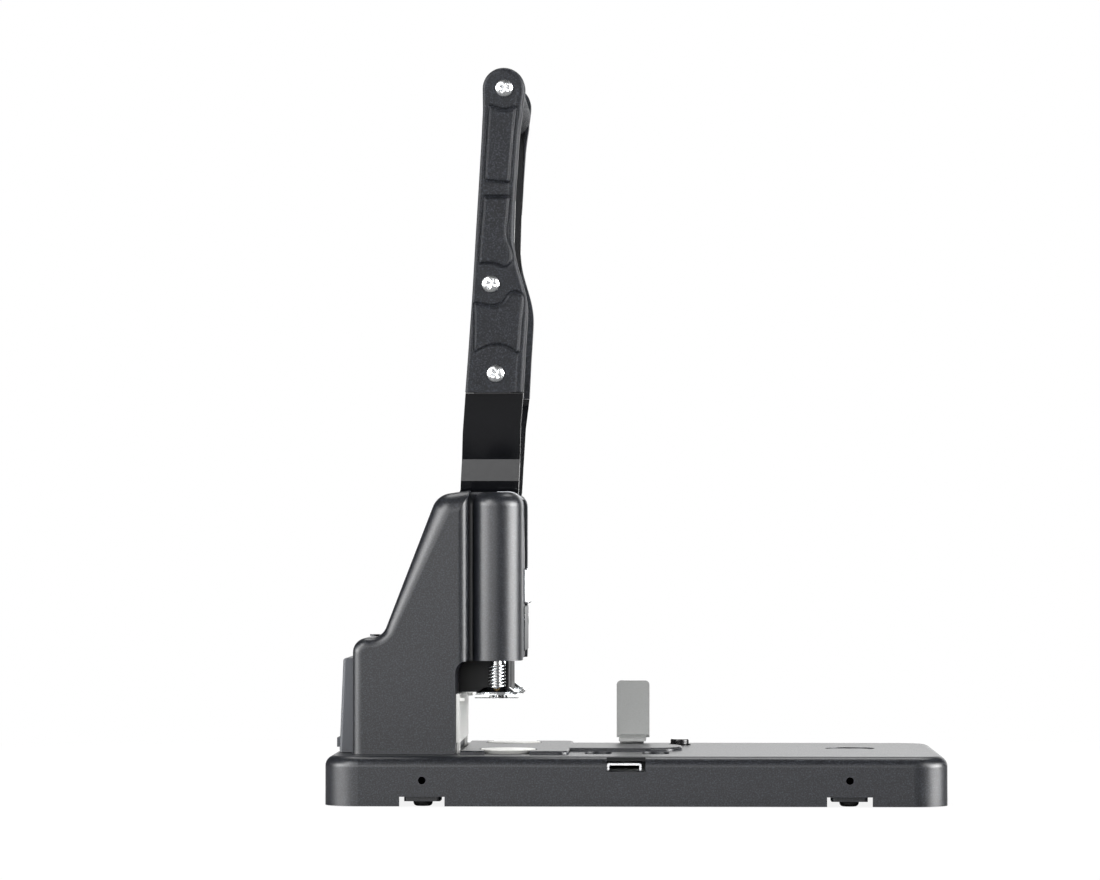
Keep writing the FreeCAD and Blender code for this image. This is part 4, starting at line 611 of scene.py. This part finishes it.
def cover_edges(heights):
    """Left and right X of the cover at each height; the top is a round end."""
    centre_x, centre_z = COVER_TOP_CENTRE
    sampled = np.minimum(heights, COVER_BLEND_FROM)
    left = smooth_curve(COVER_LEFT, sampled)
    right = smooth_curve(COVER_RIGHT, sampled)
    above = np.clip((heights - COVER_BLEND_FROM) / (centre_z - COVER_BLEND_FROM), 0.0, 1.0)
    ease = above * above * (3 - 2 * above)
    left = left + (centre_x - COVER_TOP_RADIUS - left) * ease
    right = right + (centre_x + COVER_TOP_RADIUS - right) * ease
    rise = np.clip((heights - centre_z) / COVER_TOP_RADIUS, 0.0, 1.0)
    chord = COVER_TOP_RADIUS * np.sqrt(1 - rise * rise)
    left = np.where(heights > centre_z, centre_x - chord, left)
    right = np.where(heights > centre_z, centre_x + chord, right)
    return left, right


def distance_to_line(x, z, line):
    """Least distance of each point to a line of straight pieces, as arrays."""
    starts = line[:-1]
    runs = line[1:] - starts
    lengths = np.sum(runs * runs, axis=1)
    best = np.full(x.shape, 1e9)
    for start, run, length in zip(starts, runs, lengths):
        share = ((x - start[0]) * run[0] + (z - start[1]) * run[1]) / length
        share = np.clip(share, 0.0, 1.0)
        gap = np.hypot(x - start[0] - share * run[0], z - start[1] - share * run[1])
        best = np.minimum(best, gap)
    return best


def rounded_loop(corners, softness):
    """Closed smooth loop whose corners are each cut by a curve of their own softness."""
    points = []
    count = len(corners)
    for i in range(count):
        here = np.array(corners[i], float)
        before = np.array(corners[i - 1], float) - here
        after = np.array(corners[(i + 1) % count], float) - here
        before_length = np.linalg.norm(before)
        after_length = np.linalg.norm(after)
        reach = min(softness[i], 0.49 * before_length, 0.49 * after_length)
        start = here + before / before_length * reach
        end = here + after / after_length * reach
        t = np.linspace(0.0, 1.0, 9)[:, None]
        points.append((1 - t) ** 2 * start + 2 * t * (1 - t) * here + t * t * end)
    loop = np.concatenate(points)
    return np.vstack([loop, loop[:1]])


def photo_x(px):
    """X in millimetres of a column of the photograph, on the near cover's face."""
    return VIEW_X + (px - VIEW_COLUMN) * PIXEL_MM


def photo_z(py):
    """Height in millimetres of a row of the photograph, on the near cover's face."""
    return VIEW_Z - (py - VIEW_ROW) * PIXEL_MM


def panel_loops():
    """The three sunk outlines on the cover's face, each a closed loop of X and Z."""
    first = [
        (488.6, 105.4), (492.5, 105.8), (500.6, 109.0), (508.0, 109.0), (513.6, 106.8),
        (516.9, 107.4), (515.4, 122.0), (512.9, 151.0), (510.3, 183.2), (496.7, 181.9),
        (484.0, 180.7), (486.2, 143.0),
    ]
    first_soft = [1.4, 2, 4, 4, 2, 2.2, 8, 8, 2.0, 6, 1.6, 8]
    second = [
        (483.4, 196.4), (496.0, 196.4), (510.2, 196.4), (509.2, 212.0), (506.8, 232.0),
        (507.4, 240.0), (512.6, 253.0), (512.6, 262.0), (507.6, 267.6), (502.0, 267.6),
        (495.8, 264.2), (487.0, 263.6), (478.2, 264.6), (480.8, 230.0),
    ]
    second_soft = [1.4, 6, 2.0, 8, 5, 4, 4.5, 4.5, 3, 3, 4, 4, 1.6, 8]
    third = [
        (473.8, 303.6), (479.6, 303.6), (485.6, 305.8), (495.6, 306.2), (503.0, 303.4),
        (508.6, 294.2), (516.0, 291.2), (523.6, 295.6), (524.2, 303.0), (522.6, 320.0),
        (520.3, 352.4), (517.0, 354.6), (509.4, 347.6), (499.4, 345.2), (489.8, 345.8),
        (481.0, 349.8), (475.4, 353.2), (473.4, 350.6), (474.0, 328.0),
    ]
    third_soft = [1.4, 3, 3, 5, 4.5, 4.5, 5, 4, 4, 8, 2, 1.6, 4, 5, 5, 4, 2, 1.4, 8]
    loops = []
    for corners, softness in ((first, first_soft), (second, second_soft), (third, third_soft)):
        placed = [(photo_x(px), photo_z(py)) for px, py in corners]
        loops.append(rounded_loop(placed, softness))
    return loops


def inside_loop(x, z, loop):
    """True where a point lies inside a closed loop, by counting the crossings to its right."""
    odd = np.zeros(x.shape, bool)
    for (x0, z0), (x1, z1) in zip(loop[:-1], loop[1:]):
        if z0 == z1:
            continue
        crosses = (z0 > z) != (z1 > z)
        where = x0 + (z - z0) * (x1 - x0) / (z1 - z0)
        odd ^= crosses & (x < where)
    return odd


def soft_step(values, middle, width):
    """Goes from 0 to 1 as the values pass the middle, within a few widths to either side."""
    return 1 / (1 + np.exp(np.clip((middle - values) / width, -40, 40)))


def bell(values, middle, width):
    """1 at the middle, and about a third one width away from it."""
    return np.exp(-(((values - middle) / width) ** 2))


def cover_outline(heights, left, right):
    """Line of X and Z round the cover's face: up the left edge, over the top, down the right."""
    rise = np.linspace(0.0, math.pi, 60)
    arc_x = COVER_TOP_CENTRE[0] - COVER_TOP_RADIUS * np.cos(rise)
    arc_z = COVER_TOP_CENTRE[1] + COVER_TOP_RADIUS * np.sin(rise)
    below = heights < COVER_TOP_CENTRE[1]
    return np.concatenate(
        [
            np.stack([left[below], heights[below]], 1),
            np.stack([arc_x, arc_z], 1),
            np.stack([right[below], heights[below]], 1)[::-1],
        ]
    )


def edge_fall(edge, rightness):
    """Fall of the face towards its edge, on a quarter of an ellipse that grows to the right."""
    width = 1.4 + 1.3 * rightness
    depth = 1.4 + 0.8 * rightness
    share = np.clip(edge / width, 0.0, 1.0)
    return depth * (1 - np.sqrt(1 - (1 - share) ** 2))


def edge_bead(edge, z, rightness):
    """Height of the bead beside the right edge, left out from 240 to 283 mm and above 346 mm."""
    present = soft_step(z, 283.0, 2.5) + 1 - soft_step(z, 240.0, 3.0)
    present = present * (1 - soft_step(z, 346.0, 1.5))
    return 0.22 * present * rightness * bell(edge, 3.3, 0.5)


def panel_relief(depth_inside):
    """Height across a panel's outline: a groove on it, a fine bead within, and a low plateau."""
    groove = 0.6 * bell(depth_inside, 0.0, 0.45)
    bead = 0.3 * bell(depth_inside, 1.05, 0.36)
    plateau = 0.12 * soft_step(depth_inside, 0.5, 0.2)
    return bead + plateau - groove


def cover_face(x, z):
    """Distance of the cover's face from the machine's middle plane, over arrays of X and Z."""
    heights = np.linspace(COVER_BOTTOM, COVER_SAMPLED_TO, 260)
    left, right = cover_edges(heights)
    edge = distance_to_line(x, z, cover_outline(heights, left, right))
    middle = np.interp(z, heights, (left + right) / 2)
    rightness = np.clip((x - middle) / 8.0 + 0.5, 0.0, 1.0)
    face = COVER_OUTER - edge_fall(edge, rightness) + edge_bead(edge, z, rightness)
    for loop in panel_loops():
        gap = distance_to_line(x, z, loop)
        face = face + panel_relief(np.where(inside_loop(x, z, loop), gap, -gap))
    return face


def cover_shares(count):
    """Shares across the face, closer together near both edges where it is rounded."""
    t = np.linspace(0.0, 1.0, count)
    return 0.55 * t + 0.45 * (0.5 - 0.5 * np.cos(math.pi * t))


def cover_back(heights, left, right):
    """Columns of points round the room for the steel arm, from the right edge to the left one."""
    span = (COVER_BOTTOM, STEEL_END)
    steel_left = np.interp(heights, span, (STEEL_LEFT, HANDLE_X - ARM_ROOM_HALF))
    steel_right = np.interp(heights, span, (STEEL_RIGHT, HANDLE_X + ARM_ROOM_HALF))
    steel_left = np.maximum(steel_left, left)
    steel_right = np.minimum(steel_right, right)
    depth = np.where(heights < ARM_ROOM_TOP, ARM_ROOM_OUTER, COVER_INNER)
    inner = np.full_like(heights, COVER_INNER)
    corners = [
        (right, inner),
        (steel_right, inner),
        (steel_right, depth),
        (steel_left, depth),
        (steel_left, inner),
        (left, inner),
    ]
    return [np.stack([x, y, heights], axis=-1)[:, None] for x, y in corners]


def arm_cover(name, side, made):
    """A grained cover: rows across its width at each height, each a closed loop round its section.

    A row runs over the displaced face, down the outer wall, along the back and round the room
    that the steel arm stands in. Above the room the back is flat.
    """
    centre_z = COVER_TOP_CENTRE[1]
    lower = np.linspace(COVER_BOTTOM, centre_z, 430)
    turn = np.linspace(0.0, math.pi / 2, 34)[1:]
    upper = centre_z + COVER_TOP_RADIUS * np.sin(turn)
    heights = np.concatenate([lower, upper])
    left, right = cover_edges(heights)
    shares = cover_shares(96)
    x = left[:, None] + (right - left)[:, None] * shares[None, :]
    z = np.broadcast_to(heights[:, None], x.shape)
    y = cover_face(x, z)
    face = np.stack([x, y, z], axis=-1)
    rows = np.concatenate([face, *cover_back(heights, left, right)], axis=1)
    rows[..., 1] *= side
    piece_from_grids(
        "grained_cover_" + name,
        [(rows, False, True, True)],
        "lever",
        made["cover_plastic"],
        ["arm_cover_" + name],
        sharp=50.0,
    )


def cross_screw(x, z, side, tilt_degrees):
    """Grids of one pan head screw along Y: a domed head with a cross recess, its rim and its foot.

    The head stands 2.0 mm high at its middle and falls on a flat dome. The recess is a cross
    about 1.0 mm wide and 4.7 mm long, 1.25 mm deep at its middle, with soft walls.
    """
    radius = 4.25
    slot_half_width = 0.52
    slot_half_length = 2.35
    slot_depth = 1.25
    seat = COVER_OUTER - 0.1
    rings = np.concatenate([np.linspace(0.0, 3.0, 26), np.linspace(3.0, radius, 12)[1:]])
    angle = np.linspace(0.0, 2 * math.pi, 97)[:-1]
    r, a = np.meshgrid(rings, angle, indexing="ij")
    px = r * np.cos(a)
    pz = r * np.sin(a)
    share = r / radius
    dome = 2.0 - 1.15 * share**2.6 - 0.2 * share**16
    tilt = math.radians(tilt_degrees)
    u = np.abs(px * math.cos(tilt) + pz * math.sin(tilt))
    v = np.abs(-px * math.sin(tilt) + pz * math.cos(tilt))
    along = np.maximum(u, v)
    across = np.minimum(u, v)
    slot = 1 - soft_step(across, slot_half_width, 0.09)
    reach = 1 - soft_step(along, slot_half_length, 0.14)
    recess = slot_depth * slot * reach * (1 - 0.35 * (along / 2.5) ** 2)
    height = COVER_OUTER + dome - recess
    head = np.stack([x + px, side * height, z + pz], axis=-1)
    rim = np.array([height[-1], np.full_like(angle, seat)])
    edge_x = np.broadcast_to(x + radius * np.cos(angle), rim.shape)
    edge_z = np.broadcast_to(z + radius * np.sin(angle), rim.shape)
    skirt = np.stack([edge_x, side * rim, edge_z], axis=-1)
    base_r = np.array([radius, 0.0])[:, None]
    base_x = x + base_r * np.cos(angle)
    base_z = z + base_r * np.sin(angle)
    base = np.stack([base_x, np.full_like(base_x, side * seat), base_z], axis=-1)
    return [(head, False, True, False), (skirt, False, True, False), (base, False, True, False)]


def cover_screws(name, side, made):
    """The three chrome screws of one cover."""
    grids = []
    for px, py, tilt in ((504.0, 88.0, 54.0), (490.5, 284.5, -20.0), (495.5, 374.5, 36.0)):
        grids += cross_screw(photo_x(px), photo_z(py), side, tilt)
    piece_from_grids(
        "cross_screws_" + name,
        grids,
        "lever",
        made["satin_chrome"],
        ["cover_screws_" + name],
        sharp=60.0,
    )


def grip_sleeve(made):
    """The grip: a tube along Y whose radius rises on helical ribs and falls at its rounded ends.

    The rib at length y and angle a is a rounded wave of y / pitch + a * starts / turn.
    """
    pitch = 3.4
    starts = 9
    rib_height = 0.8
    end_length = 1.5
    length = np.linspace(-GRIP_HALF, GRIP_HALF, 460)
    angle = np.linspace(0.0, 2 * math.pi, 145)[:-1]
    y, a = np.meshgrid(length, angle, indexing="ij")
    # The wave is lifted and cut off at 1, which makes the ribs broad and flat on top
    wave = np.cos(2 * math.pi * y / pitch + starts * a)
    rib = rib_height * np.clip(wave + 0.35, 0.0, 1.0) ** 0.7
    end = np.clip((GRIP_HALF - np.abs(y)) / end_length, 0.0, 1.0)
    radius = GRIP_RADIUS - rib_height + rib * end - 0.9 * (1 - end) ** 2
    outer = np.stack([HANDLE_X + radius * np.cos(a), y, HANDLE_Z + radius * np.sin(a)], axis=-1)
    bore = np.full((2, len(angle)), GRIP_BORE)
    ends = np.broadcast_to(np.array([[GRIP_HALF], [-GRIP_HALF]]), bore.shape)
    around = np.broadcast_to(angle, bore.shape)
    inner = np.stack(
        [HANDLE_X + bore * np.cos(around), ends, HANDLE_Z + bore * np.sin(around)], axis=-1
    )
    whole = np.concatenate([outer, inner])
    piece_from_grids(
        "ribbed_grip",
        [(whole, True, True, False)],
        "lever",
        made["grip_rubber"],
        ["grip_sleeve"],
        sharp=55.0,
    )


def rim_highlight_strip(name, side, made):
    """A thin bright strip on the casing beside an arm slot, a painted highlight along the casing's
    rounded edge: a flat strip 0.8 mm wide.

    Its path runs forward along the casing's top, down a quarter circle and on down the front.
    At each point the strip's section is a rectangle across the path.
    """
    turn = np.linspace(0.0, math.pi / 2, 17)
    ways = np.stack([np.sin(turn), np.cos(turn)], axis=1)
    middle = np.array([FRONT_FACE - CASING_ROUND, CASING_TOP - CASING_ROUND])
    arc = middle + CASING_ROUND * ways
    path = np.vstack([[middle[0] - HIGHLIGHT_STRIP_BACK, CASING_TOP], arc, [FRONT_FACE, HIGHLIGHT_STRIP_BOTTOM]])
    ways = np.vstack([ways[:1], ways, ways[-1:]])
    corners = []
    for y, rise in (
        (HIGHLIGHT_STRIP_INNER, -HIGHLIGHT_STRIP_SUNK),
        (HIGHLIGHT_STRIP_INNER, HIGHLIGHT_STRIP_PROUD),
        (HIGHLIGHT_STRIP_OUTER, HIGHLIGHT_STRIP_PROUD),
        (HIGHLIGHT_STRIP_OUTER, -HIGHLIGHT_STRIP_SUNK),
    ):
        place = path + rise * ways
        corners.append(np.stack([place[:, 0], np.full(len(path), side * y), place[:, 1]], axis=1))
    # The bright strip is a painted highlight along the casing's rounded edge
    piece_from_grids(
        "rim_highlight_strip_" + name,
        [(np.stack(corners, axis=1), False, True, True)],
        "base",
        made["satin_steel"],
        sharp=40.0,
    )


# Studio

# The camera's place and target in metres, and its lens in millimetres
CAMERA_PLACE = (0.0191, -2.252, 0.1251)
CAMERA_TARGET = (-0.0413, -0.082, 0.1773)
CAMERA_LENS = 146.95

# The middle of the punch, where the lamps look
LAMP_TARGET = (-0.04, 0.0, 0.15)

# Half the side of the floor, in metres
FLOOR_HALF = 6.0


def room_light(tree):
    """Strength of the room's light in each direction.

    A dim wall stands in front, with a broad light to the left of it and a strong strip light on
    each side, all fading above and below. A pale patch lies behind.
    """
    way = add(tree, "TexCoord").outputs["Generated"]

    def wall(direction, low, high, level):
        """Light of the level about a direction, fading between two cosines of the angle to it."""
        inputs = {0: way, 1: direction}
        along = add(tree, "VectorMath", inputs, operation="DOT_PRODUCT").outputs["Value"]
        return between(tree, along, 0.0, level, low, high)

    height = add(tree, "SeparateXYZ", {"Vector": way}).outputs["Z"]
    height = add(tree, "Math", {0: height}, operation="ABSOLUTE").outputs[0]
    # The room is full up to 14 degrees above and below level, and dark from 33 degrees
    band = between(tree, height, 1.0, 0.0, 0.25, 0.55)
    room = wall((0.0, -1.0, 0.0), 0.55, 0.95, 0.5)
    # Each light's direction, the cosines where it begins and is full, and its level
    for direction, low, high, level in (
        ((-0.643, -0.766, 0.0), 0.695, 0.829, 4.8),
        ((-0.92, -0.39, 0.0), 0.83, 0.95, 11.0),
        ((0.985, -0.17, 0.0), 0.86, 0.97, 28.0),
    ):
        light = wall(direction, low, high, level)
        room = add(tree, "Math", {0: room, 1: light}, operation="ADD").outputs[0]
    room = add(tree, "Math", {0: room, 1: band}, operation="MULTIPLY").outputs[0]
    behind = wall((0.2, 0.98, 0.0), 0.88, 0.97, 2.0)
    room = add(tree, "Math", {0: room, 1: behind}, operation="ADD").outputs[0]
    return add(tree, "Math", {0: room, 1: 0.05}, operation="ADD").outputs[0]


def studio_world():
    """White for the camera and through clear plastic, the room for gloss, soft light for matte."""
    world = bpy.data.worlds.new("studio")
    bpy.context.scene.world = world
    world.use_nodes = True
    tree = world.node_tree
    tree.nodes.clear()
    room = room_light(tree)
    path = add(tree, "LightPath")
    inputs = {0: path.outputs["Is Camera Ray"], 1: path.outputs["Is Transmission Ray"]}
    plain = add(tree, "Math", inputs, operation="MAXIMUM").outputs[0]
    soft = between(tree, path.outputs["Is Glossy Ray"], 0.85, 0.0, 0.0, 1.0)
    glossy = add(tree, "Math", {0: room, 1: path.outputs["Is Glossy Ray"]}, operation="MULTIPLY")
    lit = add(tree, "Math", {0: glossy.outputs[0], 1: soft}, operation="ADD").outputs[0]
    strength = add(tree, "Math", {0: lit, 1: plain}, operation="MAXIMUM").outputs[0]
    shade = add(tree, "Background", {"Color": (1.0, 1.0, 1.0, 1.0), "Strength": strength})
    output = add(tree, "OutputWorld")
    tree.links.new(shade.outputs["Background"], output.inputs["Surface"])


def floor():
    """A pale floor that looks white to the camera and keeps the punch's soft shadow.

    Gloss sees it mid grey, as the cloth below the stand in such a studio.
    """
    material = bpy.data.materials.new("pale_floor")
    material.use_nodes = True
    tree = material.node_tree
    tree.nodes.clear()
    path = add(tree, "LightPath")
    seen = blend_colours(tree, path.outputs["Is Glossy Ray"], rgb("#f4f4f4"), rgb("#787878"))
    matte = add(tree, "BsdfDiffuse", {"Color": seen})
    glow = add(tree, "Emission", {"Color": (1.0, 1.0, 1.0, 1.0), "Strength": 1.0})
    place = add(tree, "TexCoord").outputs["Object"]
    away = add(tree, "VectorMath", {0: place}, operation="LENGTH").outputs["Value"]
    # The shadow that the camera sees fades out from 0.2 to 0.7 m from the middle
    faded = between(tree, away, 0.88, 1.0, 0.2, 0.7)
    inputs = {0: path.outputs["Is Camera Ray"], 1: faded}
    share = add(tree, "Math", inputs, operation="MULTIPLY").outputs[0]
    mixed = add(tree, "MixShader", {0: share, 1: matte.outputs[0], 2: glow.outputs[0]})
    output = add(tree, "OutputMaterial")
    tree.links.new(mixed.outputs[0], output.inputs["Surface"])
    mesh = bpy.data.meshes.new("studio_floor")
    signs = ((-1, -1), (1, -1), (1, 1), (-1, 1))
    corners = [(sx * FLOOR_HALF, sy * FLOOR_HALF, 0.0) for sx, sy in signs]
    mesh.from_pydata(corners, [], [(0, 1, 2, 3)])
    mesh.materials.append(material)
    plane = bpy.data.objects.new("studio_floor", mesh)
    bpy.context.scene.collection.objects.link(plane)


def aim(thing, place, target):
    """Puts a lamp or camera at place, looking at target."""
    thing.location = place
    way = Vector(target) - Vector(place)
    thing.rotation_euler = way.to_track_quat("-Z", "Y").to_euler()


def softbox(name, place, size, power):
    """An area lamp at place in metres, of the size in metres and the power in watts."""
    lamp = bpy.data.lights.new(name, "AREA")
    lamp.shape = "RECTANGLE"
    lamp.size = size[0]
    lamp.size_y = size[1]
    lamp.energy = power
    thing = bpy.data.objects.new(name, lamp)
    aim(thing, place, LAMP_TARGET)
    bpy.context.scene.collection.objects.link(thing)


def studio():
    """The lamps, the world and the camera at the photograph's angle."""
    studio_world()
    floor()
    softbox("key_left_front", (-1.3, -1.5, 1.4), (1.0, 1.0), 31.0)
    softbox("fill_right_front", (1.5, -1.2, 0.9), (0.9, 0.9), 17.0)
    softbox("top_behind", (0.1, 0.7, 1.7), (1.4, 0.8), 19.0)
    camera = bpy.data.cameras.new("camera")
    camera.sensor_width = 36.0
    camera.lens = CAMERA_LENS
    camera.clip_end = 60.0
    thing = bpy.data.objects.new("camera", camera)
    aim(thing, CAMERA_PLACE, CAMERA_TARGET)
    bpy.context.scene.collection.objects.link(thing)
    scene = bpy.context.scene
    scene.camera = thing
    scene.view_settings.view_transform = "Standard"


def build():
    """Dresses the CAD nodes, adds the detailed pieces and sets the studio."""
    made = all_materials()
    dress_nodes(made)
    for name, side in NEAR_AND_FAR:
        throat_spring(name, side, made)
    return_spring(made)
    button_spring(made)
    for name, side in NEAR_AND_FAR:
        arm_cover(name, side, made)
        cover_screws(name, side, made)
        rim_highlight_strip(name, side, made)
    grip_sleeve(made)
    studio()


build()
